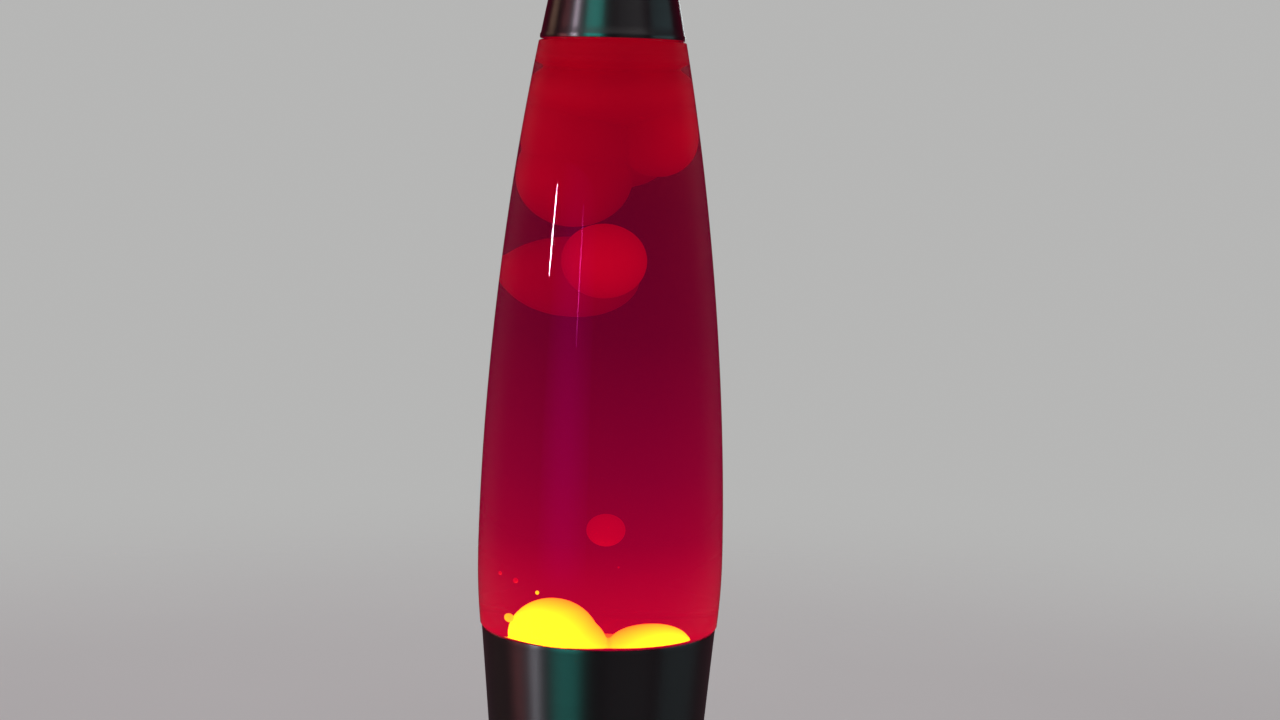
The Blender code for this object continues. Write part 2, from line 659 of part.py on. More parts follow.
def make_lampholder():
    """Insulating body with its brass sleeve and its centre contact."""
    floor = HOLDER_Z + 0.0040
    high = HOLDER_Z + HOLDER_HEIGHT
    bore = 0.0084
    profile = [(HOLDER_RADIUS - 0.0008, high), (HOLDER_RADIUS, high - 0.0008),
               (HOLDER_RADIUS, HOLDER_Z + 0.0100), (HOLDER_RADIUS - 0.0015, HOLDER_Z + 0.0085),
               (HOLDER_RADIUS - 0.0015, HOLDER_Z), (NIPPLE_RADIUS + GAP, HOLDER_Z),
               (NIPPLE_RADIUS + GAP, floor), (bore, floor), (bore, high)]
    turned("lampholder_body", profile, "cream_ceramic", facets=MEDIUM)
    sleeve_in, sleeve_out = 0.0074, 0.0080
    profile = [(sleeve_out, high - 0.0010), (sleeve_out, floor + 0.0048), (sleeve_in, floor + 0.0048),
               (sleeve_in, high - 0.0010)]
    turned("lampholder_sleeve", profile, "brass", facets=MEDIUM)
    profile = [(0.0030, BULB_Z - GAP), (0.0036, BULB_Z - 0.0010), (0.0072, floor + 0.0012),
               (0.0072, floor + GAP), (0, floor + GAP), (0, BULB_Z - GAP)]
    profile = profile[-1:] + profile[:-1]
    turned("lampholder_contact", profile, "brass", facets=SMALL)


# ---- Bulb ----

def make_bulb(rise, turn):
    """Reflector bulb with a screw base, its heights counted from its contact's lower end."""
    turned("bulb_contact", [(0, 0.0018), (0.0030, 0.0018), (0.0030, 0.0006), (0.0022, 0), (0, 0)],
           "nickel", parent=rise, facets=SMALL)
    turned("bulb_insulator", [(0, 0.0052), (0.0058, 0.0052), (0.0036, 0.0021), (0, 0.0021)],
           "black_vitrite", parent=turn, facets=SMALL)
    outer = [(0.0080, 0.0250), (SCREW_SHELL_RADIUS, 0.0225), (SCREW_SHELL_RADIUS, 0.0055)]
    inner = [(0.0050, 0.0055), (0.0050, 0.0060), (0.0061, 0.0063), (0.0061, 0.0226), (0.0077, 0.0251)]
    turned("bulb_screw_shell", outer + inner, "nickel", parent=turn, facets=MEDIUM)
    make_bulb_envelope(turn)
    turned("bulb_stem", [(0, 0.0350), (0.0016, 0.0350), (0.0020, 0.0340), (0.0020, 0.0200),
                         (0.0036, 0.0160), (0, 0.0160)], "clear_glass", parent=turn, facets=TINY)
    make_filament(turn)


def make_bulb_envelope(turn):
    wall = 0.0007
    crown = (0.0, BULB_LENGTH - 0.0270)
    outside = list(arc(crown, 0.0270, 90, 52, 5))
    outside += [(0.0186, BULB_LENGTH - 0.0080), (BULB_RADIUS, BULB_LENGTH - 0.0125),
                (0.0188, BULB_LENGTH - 0.0180), (0.0158, BULB_LENGTH - 0.0255), (0.0110, BULB_LENGTH - 0.0330),
                (0.0076, BULB_LENGTH - 0.0385), (0.0057, 0.0240), (0.0057, 0.0145)]
    inside = [(max(radius - wall, 0), height - (wall if index < 6 else 0))
              for index, (radius, height) in enumerate(outside)]
    turned("bulb_envelope", outside + inside[::-1], "frosted_glass", parent=turn, facets=24)


def make_filament(turn):
    """Lead-in wires and the filament between them, as one bent wire on the stem."""
    left = [(-0.0012, 0, 0.0354), (-0.0030, 0, 0.0380), (-0.0075, 0, 0.0440)]
    zigzag = []
    for step in range(1, 8):
        x = -0.0075 + 0.015 * step / 8
        zigzag.append((x, 0.0016 * math.cos(math.pi * step), 0.0440 + 0.0018 * math.sin(math.pi * step / 8)))
    right = [(-x, y, z) for x, y, z in reversed(left)]
    wire("bulb_filament", left + zigzag + right, 0.00025, "steel_wire", turn, sides=1)


# ---- Wiring ----

BLOCK_CENTRE = (0.0, 0.0320, PLATE_Z + PLATE_THICKNESS + GAP + 0.0045)
BLOCK_SIZE = (0.0240, 0.0130, 0.0090)
POLE_SPACING = 0.0075
EARTH_PLACE = (-0.0330, 0.0140)


def make_terminal_block():
    """Three-pole connector on the bottom plate, with one clamping screw for each pole."""
    block = add_object("terminal_block", box_mesh("terminal_block", BLOCK_SIZE, BLOCK_CENTRE, bevel=0.0006),
                       "white_plastic")
    holes = []
    top = BLOCK_CENTRE[2] + BLOCK_SIZE[2] / 2
    for index in range(3):
        x = (index - 1) * POLE_SPACING
        centre = (x, BLOCK_CENTRE[1], top + 0.001)
        holes.append(rod_cutter(f"terminal_well_{index}", centre, (x, BLOCK_CENTRE[1], top - 0.0045), 0.0021))
        screw(f"terminal_screw_{index + 1}", (x, BLOCK_CENTRE[1], top - 0.0024), 0.0016, 0.0010, 0.0017, 0.0012)
    cut(block, *holes)


def make_leads():
    """Live and neutral from the block to the lampholder's terminals, and earth to its screw."""
    near = BLOCK_CENTRE[1] - BLOCK_SIZE[1] / 2 - GAP
    z = BLOCK_CENTRE[2] + 0.0005
    side = HOLDER_RADIUS - 0.0015 + GAP
    live = [(POLE_SPACING, near, z), (POLE_SPACING, near - 0.004, z + 0.0004), (0.0076, 0.0170, z + 0.0035),
            (0.0060, 0.0140, z + 0.0080), (0.0048, side - 0.0004, z + 0.0096)]
    wire("lead_live", live, 0.0010, "brown_insulation")
    neutral = [(-x, y, z) for x, y, z in live]
    neutral[0] = (0, near, z)
    neutral[1] = (0, near - 0.004, z + 0.0004)
    neutral[2] = (-0.0040, 0.0180, z + 0.0035)
    wire("lead_neutral", neutral, 0.0010, "blue_insulation")
    earth = [(-POLE_SPACING, near, z), (-POLE_SPACING - 0.001, near - 0.0045, z), (-0.0150, 0.0180, z - 0.0015),
             (-0.0220, 0.0150, z - 0.0020), (EARTH_PLACE[0] + 0.0042, EARTH_PLACE[1], z - 0.0024)]
    wire("lead_earth", earth, 0.0010, "green_insulation")


def make_earth_screw():
    """Screw that takes the earth lead's ring terminal, on the bottom plate."""
    top = PLATE_Z + PLATE_THICKNESS
    x, y = EARTH_PLACE
    prism("earth_tag", polygon(SMALL, 0.0034), 0.0006, "brass", (x, y, top + GAP), hole=polygon(TINY, 0.0018))
    screw("earth_screw", (x, y, top + GAP + 0.0006 + GAP), 0.0007, 0.0014, 0.0028, 0.0018)


def make_base():
    make_upper_cone()
    make_foot_cone()
    make_bottle_seat()
    make_bottom_plate()
    make_feet()
    make_grommet()
    make_flange_fasteners()
    make_plate_screws()
    make_bracket()
    make_nipple()
    make_lampholder()
    make_terminal_block()
    make_leads()
    make_earth_screw()


clear_scene()
PARTS = new_collection("lava_lamp")
CUTTERS = new_collection("cutters")
bottle_axis = add_axis("bottle_slide", (0, 0, RIM_Z))
cap_axis = add_axis("cap_slide", (0, 0, -RIM_Z), bottle_axis)
bulb_rise = add_axis("bulb_rise", (0, 0, BULB_Z))
bulb_turn = add_axis("bulb_turn", parent=bulb_rise)
make_cap(cap_axis)
make_bottle(bottle_axis)
make_liquid(bottle_axis)
make_closure(bottle_axis)
make_coil(bottle_axis)
make_wax(bottle_axis)
make_bulb(bulb_rise, bulb_turn)
make_base()
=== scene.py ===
"""Looks of the lava lamp in its CAD frame: spun metal, glass, liquid and wax with a painted glow, and hidden
hardware.
"""

import math

import bmesh
import bpy
from mathutils import Matrix, Vector, noise


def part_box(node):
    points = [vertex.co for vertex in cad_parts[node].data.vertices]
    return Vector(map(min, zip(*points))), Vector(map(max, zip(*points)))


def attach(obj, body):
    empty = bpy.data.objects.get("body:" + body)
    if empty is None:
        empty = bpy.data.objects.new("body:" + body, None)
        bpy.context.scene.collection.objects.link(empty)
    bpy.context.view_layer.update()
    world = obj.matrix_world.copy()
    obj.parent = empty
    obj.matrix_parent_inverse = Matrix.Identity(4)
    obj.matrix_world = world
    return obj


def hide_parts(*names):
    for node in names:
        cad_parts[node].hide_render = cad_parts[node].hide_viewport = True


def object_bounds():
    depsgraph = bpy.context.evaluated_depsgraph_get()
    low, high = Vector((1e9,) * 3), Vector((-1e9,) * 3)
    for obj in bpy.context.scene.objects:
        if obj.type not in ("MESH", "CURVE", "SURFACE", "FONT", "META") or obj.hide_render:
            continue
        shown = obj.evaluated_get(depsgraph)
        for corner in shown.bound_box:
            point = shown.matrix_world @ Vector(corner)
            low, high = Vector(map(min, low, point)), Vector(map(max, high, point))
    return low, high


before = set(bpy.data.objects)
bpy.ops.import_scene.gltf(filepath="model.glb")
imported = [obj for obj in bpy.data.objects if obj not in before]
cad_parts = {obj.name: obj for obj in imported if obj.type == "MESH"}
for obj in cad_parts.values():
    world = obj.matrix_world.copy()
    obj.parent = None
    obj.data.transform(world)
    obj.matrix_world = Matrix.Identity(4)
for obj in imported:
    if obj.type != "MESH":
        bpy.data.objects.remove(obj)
CAD_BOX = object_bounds()

# ---- Sizes, in metres, from the CAD frame and from the design that it shares ----

TOP_Z = CAD_BOX[1].z
RIM_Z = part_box("base_upper_cone")[1].z
WAIST_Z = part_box("base_upper_cone")[0].z
FOOT_TOP_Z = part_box("base_foot_cone")[1].z
SEAM_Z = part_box("cap_shell")[0].z
GAP = WAIST_Z - FOOT_TOP_Z
RIM_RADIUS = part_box("base_upper_cone")[1].x
FOOT_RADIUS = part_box("base_foot_cone")[1].x
FOOT_EDGE_Z = 0.0015
CAP_LIP_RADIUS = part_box("cap_shell")[1].x
BASE_TAPER = 0.088
CAP_TAPER = 0.193
SHEET = 0.0009
CAP_SHEET = 0.0008
CAP_EDGE = 0.0025
FLANGE_RADIUS = 0.0240
BELLY_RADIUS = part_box("glass_bottle")[1].x
BELLY_HEIGHT = 0.024
SHOULDER_RADIUS = 0.02565
HEEL_RADIUS = 0.0421
GLASS_WALL = 0.0030
SPIGOT_RADIUS = 0.0401
SPIGOT_DEPTH = RIM_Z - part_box("glass_bottle")[0].z
SPIGOT_EDGE = 0.005
FLOOR_THICKNESS = 0.004
NECK_RADIUS = 0.0129
LIP_RADIUS = 0.0134
MOUTH_RADIUS = 0.0085
NECK_FOOT_HEIGHT = 0.2300
LIP_FOOT_HEIGHT = 0.2355
LIP_TOP_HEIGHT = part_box("glass_bottle")[1].z - RIM_Z
LIQUID_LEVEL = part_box("liquid_fill")[1].z - RIM_Z
LIQUID_OVERLAP = 0.0002   # how far the liquid reaches into the glass, so that no air shows between them
BULB_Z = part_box("bulb_contact")[0].z
BULB_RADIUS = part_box("bulb_envelope")[1].x
BULB_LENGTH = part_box("bulb_envelope")[1].z - BULB_Z

BULB_SHEET = 0.0007
BULB_NECK_RADIUS = 0.0057
BULB_FRONT_CURVE = 0.0270
THREAD_PITCH = 0.00282
THREAD_CORE = 0.0059
THREAD_CREST = 0.0068
INSIDE_STEP_TOP = 0.0080   # above the rim: the glass's inner wall has widened here to the belly's

# Steps round and along turned pieces, and the chamfer of small hardware.
FINE = 160
ROUND = 96
WALL_STEPS = 60
HEEL_STEPS = 14
CHAMFER = 0.00015

# Stage. In mirrorings the floor is dim, as if a dark card lay round the lamp. Its edge melts into the
# studio between the two fade distances.
METAL_PIECES = ("cap_cone", "upper_cone", "foot_cone")
FLOOR_MIRRORED = (0.085, 0.070, 0.078)
FLOOR_FADE = (0.35, 1.15)
LIGHTS_AIM_Z = 0.25
LINKED_DISTANCE = 2.0

# Lights that reach the bottle alone, then those that reach the spun metal alone:
# name, azimuth, elevation, size, power, colour.
BOTTLE_LIGHTS = (
    ("glass_band", -36, -3, (1.7, 1.3), 7.0, (1.0, 0.0, 0.50)),
    ("glass_line", -29, 8, (0.05, 0.34), 0.55, (1.0, 0.05, 0.60)),
)
METAL_LIGHTS = (
    ("metal_streak", -63, 0, (0.10, 0.3), 1.6, (0.74, 0.96, 1.0)),
    ("metal_cool", -31, 6, (0.95, 0.3), 5.0, (0.08, 1.0, 0.86)),
    ("metal_warm", -84, 0, (0.45, 0.3), 1.5, (1.0, 0.28, 0.30)),
    ("metal_far_left", -118, 14, (0.6, 0.4), 0.6, (1.0, 0.62, 0.42)),
    ("metal_right", 88, 5, (1.7, 0.5), 1.3, (0.50, 0.96, 1.0)),
    ("metal_fill", 30, 5, (1.6, 1.2), 0.4, (0.70, 0.98, 1.0)),
    ("metal_rear", 170, 5, (0.5, 0.4), 1.6, (0.86, 1.0, 1.0)),
)

CAMERA_LENS = 65.6
CAMERA_DISTANCE = 0.816
CAMERA_HEIGHT = 0.181   # above the rim
CAMERA_PITCH, CAMERA_YAW, CAMERA_ROLL = (math.radians(degrees) for degrees in (6.03, 0.863, 1.50))


# ---- Mesh helpers ----

def link(name, data, material):
    obj = bpy.data.objects.new(name, data)
    bpy.context.scene.collection.objects.link(obj)
    if material is not None:
        data.materials.clear()
        data.materials.append(material)
    return obj


def shade(obj, degrees=35):
    obj.data.shade_smooth()
    obj.data.set_sharp_from_angle(angle=math.radians(degrees))
    return obj


def turned(name, profile, material, steps=FINE, centre=(0, 0)):
    """Turns a closed profile of (radius, height) about Z. It runs down the outside and up the inside."""
    bm = bmesh.new()
    rings = []
    for radius, height in profile:
        if radius < 1e-7:
            rings.append([bm.verts.new((centre[0], centre[1], height))])
            continue
        ring = []
        for step in range(steps):
            angle = 2 * math.pi * step / steps
            ring.append(bm.verts.new((centre[0] + radius * math.cos(angle),
                                      centre[1] + radius * math.sin(angle), height)))
        rings.append(ring)
    for upper, lower in zip(rings, rings[1:] + rings[:1]):
        if len(upper) == 1 and len(lower) == 1:
            continue
        for step in range(steps):
            after = (step + 1) % steps
            if len(upper) == 1:
                bm.faces.new((upper[0], lower[step], lower[after]))
            elif len(lower) == 1:
                bm.faces.new((upper[step], lower[0], upper[after]))
            else:
                bm.faces.new((upper[step], lower[step], lower[after], upper[after]))
    mesh = bpy.data.meshes.new(name)
    bm.to_mesh(mesh)
    bm.free()
    return shade(link(name, mesh, material))


def arc(centre, radius, start_degrees, end_degrees, steps):
    for step in range(steps + 1):
        angle = math.radians(start_degrees + (end_degrees - start_degrees) * step / steps)
        yield centre[0] + radius * math.cos(angle), centre[1] + radius * math.sin(angle)


def bezier(p0, p1, p2, p3, steps):
    for step in range(steps + 1):
        t = step / steps
        weights = ((1 - t) ** 3, 3 * (1 - t) ** 2 * t, 3 * (1 - t) * t * t, t ** 3)
        yield tuple(sum(w * p[axis] for w, p in zip(weights, (p0, p1, p2, p3))) for axis in (0, 1))


def rounded_corner(before, corner, after, radius, steps):
    """Points that round a corner of a profile."""
    before, corner, after = Vector(before), Vector(corner), Vector(after)
    start = corner + (before - corner).normalized() * radius
    end = corner + (after - corner).normalized() * radius
    for step in range(steps + 1):
        t = step / steps
        point = start * (1 - t) ** 2 + corner * 2 * t * (1 - t) + end * t * t
        yield point.x, point.y


def sheet_profile(outside, thickness):
    """A closed profile from an open outer line: the inner line lies one sheet thickness inwards."""
    inside = []
    for index, point in enumerate(outside):
        before = Vector(outside[max(index - 1, 0)])
        after = Vector(outside[min(index + 1, len(outside) - 1)])
        along = (after - before).normalized()
        inward = Vector((along.y, -along.x))
        inside.append((max(point[0] + inward.x * thickness, 0.0), point[1] + inward.y * thickness))
    if outside[0][0] < 1e-7:
        inside[0] = (0.0, outside[0][1] - thickness)
    return outside + inside[::-1]


def evaluated_copy(obj, name, material):
    """The object's modified mesh as a new object, in place of the first."""
    graph = bpy.context.evaluated_depsgraph_get()
    mesh = bpy.data.meshes.new_from_object(obj.evaluated_get(graph))
    mesh.transform(obj.matrix_world)
    bpy.data.objects.remove(obj)
    mesh.name = name
    made = link(name, mesh, material)
    made.data.shade_smooth()
    return made


def finish_piece(obj, body, slot, *nodes):
    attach(obj, body)
    if nodes:
        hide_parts(*nodes)


# ---- Material helpers ----

class Nodes:
    """A material with one Principled shader, and short calls for the nodes that feed it."""

    def __init__(self, name, **settings):
        self.material = bpy.data.materials.new(name)
        self.material.use_nodes = True
        self.tree = self.material.node_tree
        self.shader = self.tree.nodes["Principled BSDF"]
        self.output = self.tree.nodes["Material Output"]
        for socket, value in settings.items():
            self.set(self.shader, socket.replace("_", " "), value)

    @staticmethod
    def set(node, socket, value):
        if isinstance(value, tuple) and len(value) == 3 and node.inputs[socket].type == "RGBA":
            value = (*value, 1)
        node.inputs[socket].default_value = value

    def add(self, kind, **inputs):
        node = self.tree.nodes.new(kind)
        for socket, value in inputs.items():
            self.put(node, socket.replace("_", " "), value)
        return node

    def put(self, node, socket, value):
        if isinstance(value, bpy.types.NodeSocket):
            self.tree.links.new(value, node.inputs[socket])
        else:
            self.set(node, socket, value)

    def feed(self, socket, value):
        """Sets or links an input of the Principled shader."""
        self.put(self.shader, socket, value)

    def place(self, scale=(1, 1, 1)):
        """The point on the object, scaled, for textures that are stretched along one way."""
        coordinates = self.tree.nodes.new("ShaderNodeTexCoord")
        mapping = self.add("ShaderNodeMapping", Scale=scale)
        self.tree.links.new(coordinates.outputs["Object"], mapping.inputs["Vector"])
        return mapping.outputs["Vector"]

    def noise(self, scale, detail=3.0, stretch=(1, 1, 1)):
        node = self.add("ShaderNodeTexNoise", Vector=self.place(stretch), Scale=scale, Detail=detail)
        return node.outputs["Fac"]

    def height(self, low, high):
        """0 at one height in the frame and 1 at another."""
        split = self.add("ShaderNodeSeparateXYZ", Vector=self.place())
        spread = self.add("ShaderNodeMapRange", Value=split.outputs["Z"])
        self.set(spread, "From Min", low)
        self.set(spread, "From Max", high)
        return spread.outputs["Result"]

    def ramp(self, value, *stops):
        """A colour ramp with (position, colour) stops."""
        node = self.add("ShaderNodeValToRGB", Fac=value)
        elements = node.color_ramp.elements
        elements[0].position, elements[0].color = stops[0][0], (*stops[0][1], 1)
        elements[1].position, elements[1].color = stops[-1][0], (*stops[-1][1], 1)
        for position, colour in stops[1:-1]:
            elements.new(position).color = (*colour, 1)
        return node.outputs["Color"]

    def spread(self, value, low, high):
        """Maps 0 to 1 onto low to high."""
        node = self.add("ShaderNodeMapRange", Value=value)
        self.set(node, "To Min", low)
        self.set(node, "To Max", high)
        return node.outputs["Result"]

    def math(self, operation, first, second):
        node = self.tree.nodes.new("ShaderNodeMath")
        node.operation = operation
        for index, value in enumerate((first, second)):
            if isinstance(value, bpy.types.NodeSocket):
                self.tree.links.new(value, node.inputs[index])
            else:
                node.inputs[index].default_value = value
        return node.outputs["Value"]

    def bump(self, height, strength, distance):
        node = self.add("ShaderNodeBump", Height=height, Strength=strength, Distance=distance)
        self.feed("Normal", node.outputs["Normal"])


def mixed(tree, share, first, second):
    """Mixes two colours or colour sockets by a share. A Mix node's colour sockets go by index."""
    node = tree.nodes.new("ShaderNodeMix")
    node.data_type = "RGBA"
    tree.links.new(share, node.inputs[0])
    for index, value in ((6, first), (7, second)):
        if isinstance(value, tuple):
            node.inputs[index].default_value = (*value, 1)
        else:
            tree.links.new(value, node.inputs[index])
    return node.outputs[2]


def brushed_aluminium(name, brightness):
    """Spun metal, brushed round the axis, so highlights stretch up and down."""
    m = Nodes(name, Metallic=1.0, Anisotropic=0.85, Anisotropic_Rotation=0.25)
    fine = m.noise(1.0, 2.0, (60, 60, 9000))
    coarse = m.noise(1.0, 3.0, (14, 14, 900))
    patches = m.noise(24.0, 4.0)
    tone = m.math("ADD", m.spread(coarse, -0.06, 0.06), m.spread(patches, 0.94, 1.06))
    tone = m.math("ADD", tone, m.spread(fine, -0.05, 0.05))
    shade_of = m.ramp(m.spread(tone, 0.0, 1.0), (0.0, (brightness * 0.85,) * 3),
                      (1.0, (brightness, brightness, brightness * 0.985)))
    m.feed("Base Color", shade_of)
    m.feed("Roughness", m.spread(fine, 0.30, 0.42))
    tangent = m.tree.nodes.new("ShaderNodeTangent")
    tangent.direction_type = "RADIAL"
    tangent.axis = "Z"
    m.feed("Tangent", tangent.outputs["Tangent"])
    m.bump(fine, 0.12, 0.00002)
    return m.material


def clear_glass(name="glass_clear", tint=(1.0, 1.0, 1.0)):
    """Blown bottle glass, with the faint waviness of its skin. A wetted face takes a black tint: liquid
    touches it, so it mirrors next to nothing."""
    m = Nodes(name, Base_Color=(0.985, 0.995, 0.99), Roughness=0.0, IOR=1.5, Transmission_Weight=1.0,
              Specular_Tint=tint)
    m.bump(m.noise(45.0, 1.0, (1, 1, 0.35)), 0.05, 0.0004)
    return m.material


def purple_liquid():
    """Strongly dyed clear liquid: it takes green first, then blue. Its glow is painted light: an emission
    that is brightest near the bottom, where the wax lights it, and dims towards the top.
    """
    m = Nodes("liquid_purple", Base_Color=(1.0, 1.0, 1.0), Roughness=0.0, IOR=1.34, Transmission_Weight=1.0,
              Specular_Tint=(0.0, 0.0, 0.0))
    absorb = m.tree.nodes.new("ShaderNodeVolumeAbsorption")
    absorb.inputs["Color"].default_value = (0.57, 0.0, 0.06, 1)
    absorb.inputs["Density"].default_value = 100.0
    m.tree.links.new(absorb.outputs["Volume"], m.output.inputs["Volume"])
    # Painted light: the emission colour runs from bright crimson low down to dim wine at the top.
    level = m.height(RIM_Z - 0.012, RIM_Z + 0.215)
    painted_glow = m.ramp(level, (0.0, (0.62, 0.0, 0.028)), (0.12, (0.47, 0.0, 0.028)), (0.16, (0.41, 0.0, 0.028)),
                  (0.21, (0.31, 0.0, 0.027)), (0.31, (0.228, 0.0, 0.026)), (0.41, (0.178, 0.0, 0.023)),
                  (0.52, (0.130, 0.0, 0.019)), (0.70, (0.098, 0.0, 0.015)), (1.0, (0.105, 0.0, 0.005)))
    m.feed("Emission Color", painted_glow)
    m.feed("Emission Strength", 1.0)
    return m.material


def red_wax(name="wax_red", painted_glow=1.0):
    """Cooled wax, lit through the liquid: deep red, with soft mottling. The light is painted in as emission,
    bright near the bottom and dark towards the top, with a little noise.
    """
    m = Nodes(name, Roughness=0.5, IOR=1.44)
    m.feed("Base Color", m.ramp(m.noise(70.0, 3.0), (0.3, (0.40, 0.004, 0.003)), (0.7, (0.46, 0.006, 0.004))))
    # Painted light: emission by height, as if the wax were lit by the bulb from below.
    painted_light_mask = m.math("ADD", m.height(RIM_Z + 0.040, RIM_Z + 0.205), m.spread(m.noise(38.0, 2.0), -0.10, 0.10))
    m.feed("Emission Color", m.ramp(painted_light_mask, (0.0, (1.05, 0.004, 0.004)), (0.45, (0.52, 0.0, 0.003)),
                                    (0.70, (0.45, 0.0, 0.003)), (1.0, (0.175, 0.0, 0.002))))
    m.feed("Emission Strength", painted_glow)
    m.bump(m.noise(160.0, 2.0), 0.04, 0.0003)
    return m.material


def drop_wax():
    """A drop that has just left the molten pool: orange, with a bright painted glow of yellow emission in
    place of the bulb's light.
    """
    m = Nodes("wax_drop", Roughness=0.5, IOR=1.44)
    m.feed("Base Color", (0.85, 0.30, 0.02))
    m.feed("Emission Color", m.ramp(m.noise(300.0, 2.0), (0.3, (3.2, 4.2, 0.0)), (0.7, (3.8, 5.4, 0.0))))
    m.feed("Emission Strength", 1.0)
    return m.material


def painted_glow_wax():
    """Molten wax over the heat coil, with a strong painted glow in place of the bulb's light: yellow at the
    bottom, orange towards the tops of its humps.
    """
    m = Nodes("wax_painted_glow", Roughness=0.45, IOR=1.44)
    m.feed("Base Color", (0.95, 0.55, 0.05))
    # Painted light: emission colour by height, with a little noise.
    level = m.height(RIM_Z - 0.004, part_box("wax_pool")[1].z)
    painted_glow_mask = m.math("ADD", level, m.spread(m.noise(60.0, 2.0), -0.10, 0.10))
    m.feed("Emission Color", m.ramp(painted_glow_mask, (0.0, (0.90, 1.0, 0.0)), (0.80, (0.90, 0.97, 0.0)),
                                    (1.0, (0.95, 0.82, 0.0))))
    m.feed("Emission Strength", 16.0)
    return m.material


def plated_steel():
    m = Nodes("steel_zinc", Metallic=1.0)
    cells = m.add("ShaderNodeTexVoronoi", Vector=m.place(), Scale=420.0).outputs["Distance"]
    m.feed("Base Color", m.ramp(cells, (0.0, (0.50, 0.51, 0.53)), (1.0, (0.62, 0.63, 0.65))))
    m.feed("Roughness", m.spread(m.noise(300.0, 3.0), 0.28, 0.46))
    m.bump(m.noise(900.0, 2.0), 0.10, 0.00004)
    return m.material


def plain_metal(name, colour, roughness, grain, metallic=1.0):
    m = Nodes(name, Metallic=metallic)
    darker = tuple(part * 0.82 for part in colour)
    m.feed("Base Color", m.ramp(m.noise(grain, 4.0), (0.25, darker), (0.75, colour)))
    m.feed("Roughness", m.spread(m.noise(grain * 3, 3.0), roughness * 0.75, roughness * 1.25))
    m.bump(m.noise(grain * 5, 2.0), 0.08, 0.00004)
    return m.material


def moulded(name, colour, roughness, grain=500.0, bump=0.2):
    """Rubber, plastic or ceramic, with the fine texture of its mould."""
    m = Nodes(name)
    darker = tuple(part * 0.86 for part in colour)
    m.feed("Base Color", m.ramp(m.noise(90.0, 4.0), (0.3, darker), (0.7, colour)))
    m.feed("Roughness", m.spread(m.noise(grain, 3.0), roughness * 0.85, min(roughness * 1.15, 1.0)))
    m.bump(m.noise(grain * 2, 3.0), bump, 0.00006)
    return m.material


def striped_insulation():
    """Green earth insulation with its yellow stripe."""
    m = Nodes("insulation_earth")
    wave = m.add("ShaderNodeTexWave", Vector=m.place(), Scale=55.0, Distortion=0.0)
    wave.bands_direction = "DIAGONAL"
    m.feed("Base Color", m.ramp(wave.outputs["Fac"], (0.45, (0.03, 0.30, 0.05)), (0.55, (0.75, 0.65, 0.04))))
    m.feed("Roughness", m.spread(m.noise(600.0), 0.38, 0.5))
    return m.material


def lit_bulb():
    """Reflector bulb: silvered from its neck to its widest place, and a frosted, glowing front."""
    m = Nodes("bulb_frosted", IOR=1.5)
    front = m.height(BULB_Z + BULB_LENGTH - 0.0150, BULB_Z + BULB_LENGTH - 0.0128)
    m.feed("Base Color", m.ramp(front, (0.0, (0.80, 0.80, 0.80)), (1.0, (0.95, 0.90, 0.80))))
    m.feed("Metallic", m.spread(front, 1.0, 0.0))
    frost = m.noise(800.0, 3.0)
    m.feed("Roughness", m.math("ADD", m.spread(front, 0.12, 0.45), m.spread(frost, -0.03, 0.05)))
    m.feed("Emission Color", m.ramp(front, (0.0, (0.0, 0.0, 0.0)), (1.0, (1.0, 0.70, 0.36))))
    m.feed("Emission Strength", 5.0)
    m.bump(frost, 0.08, 0.00005)
    return m.material


# ---- Outlines shared with the design ----

def base_radius(height):
    return RIM_RADIUS - BASE_TAPER * (RIM_Z - height)


def bottle_wall(inset=0.0):
    """Outer radius and height above the rim, from the shoulder down to the heel."""
    seam = SEAM_Z - GAP - RIM_Z
    upper = list(bezier((SHOULDER_RADIUS, seam - 0.0005), (SHOULDER_RADIUS + 0.0164, seam - 0.0869),
                        (BELLY_RADIUS, BELLY_HEIGHT + 0.0211), (BELLY_RADIUS, BELLY_HEIGHT), WALL_STEPS))
    lower = []
    for step in range(1, HEEL_STEPS + 1):
        fall = step / HEEL_STEPS
        lower.append((BELLY_RADIUS - (BELLY_RADIUS - HEEL_RADIUS) * fall ** 2,
                      BELLY_HEIGHT - (BELLY_HEIGHT - 0.0012) * fall))
    return [(radius - inset, height) for radius, height in upper + lower]


def bottle_outside():
    seam = SEAM_Z - GAP - RIM_Z
    inside_cap = CAP_LIP_RADIUS - CAP_SHEET - 0.0006
    shoulder = list(bezier((NECK_RADIUS, NECK_FOOT_HEIGHT), (NECK_RADIUS + 0.0003, NECK_FOOT_HEIGHT - 0.0100),
                           (inside_cap - 0.0012, seam + 0.0090), (inside_cap, seam + 0.0003), 16))
    spigot_low = -SPIGOT_DEPTH + SPIGOT_EDGE
    spigot_radius = SPIGOT_RADIUS + BASE_TAPER * spigot_low
    profile = list(arc((LIP_RADIUS - 0.0012, LIP_TOP_HEIGHT - 0.0012), 0.0012, 90, 0, 5))
    profile += list(arc((LIP_RADIUS - 0.0010, LIP_FOOT_HEIGHT + 0.0014), 0.0010, 0, -70, 4))
    profile += [(NECK_RADIUS, LIP_FOOT_HEIGHT - 0.0006)]
    profile += shoulder
    profile += bottle_wall()
    profile += list(bezier((HEEL_RADIUS, 0.0010), (HEEL_RADIUS - 0.0002, 0.0003),
                           (SPIGOT_RADIUS + 0.0008, 0.0000), (SPIGOT_RADIUS, -0.0008), 6))
    profile += list(arc((spigot_radius - SPIGOT_EDGE, spigot_low), SPIGOT_EDGE, 0, -90, 8))
    profile += list(bezier((0.026, -SPIGOT_DEPTH + 0.0001), (0.020, -SPIGOT_DEPTH + 0.0002),
                           (0.012, -SPIGOT_DEPTH + 0.0021), (0.0, -SPIGOT_DEPTH + 0.0022), 8))
    return profile


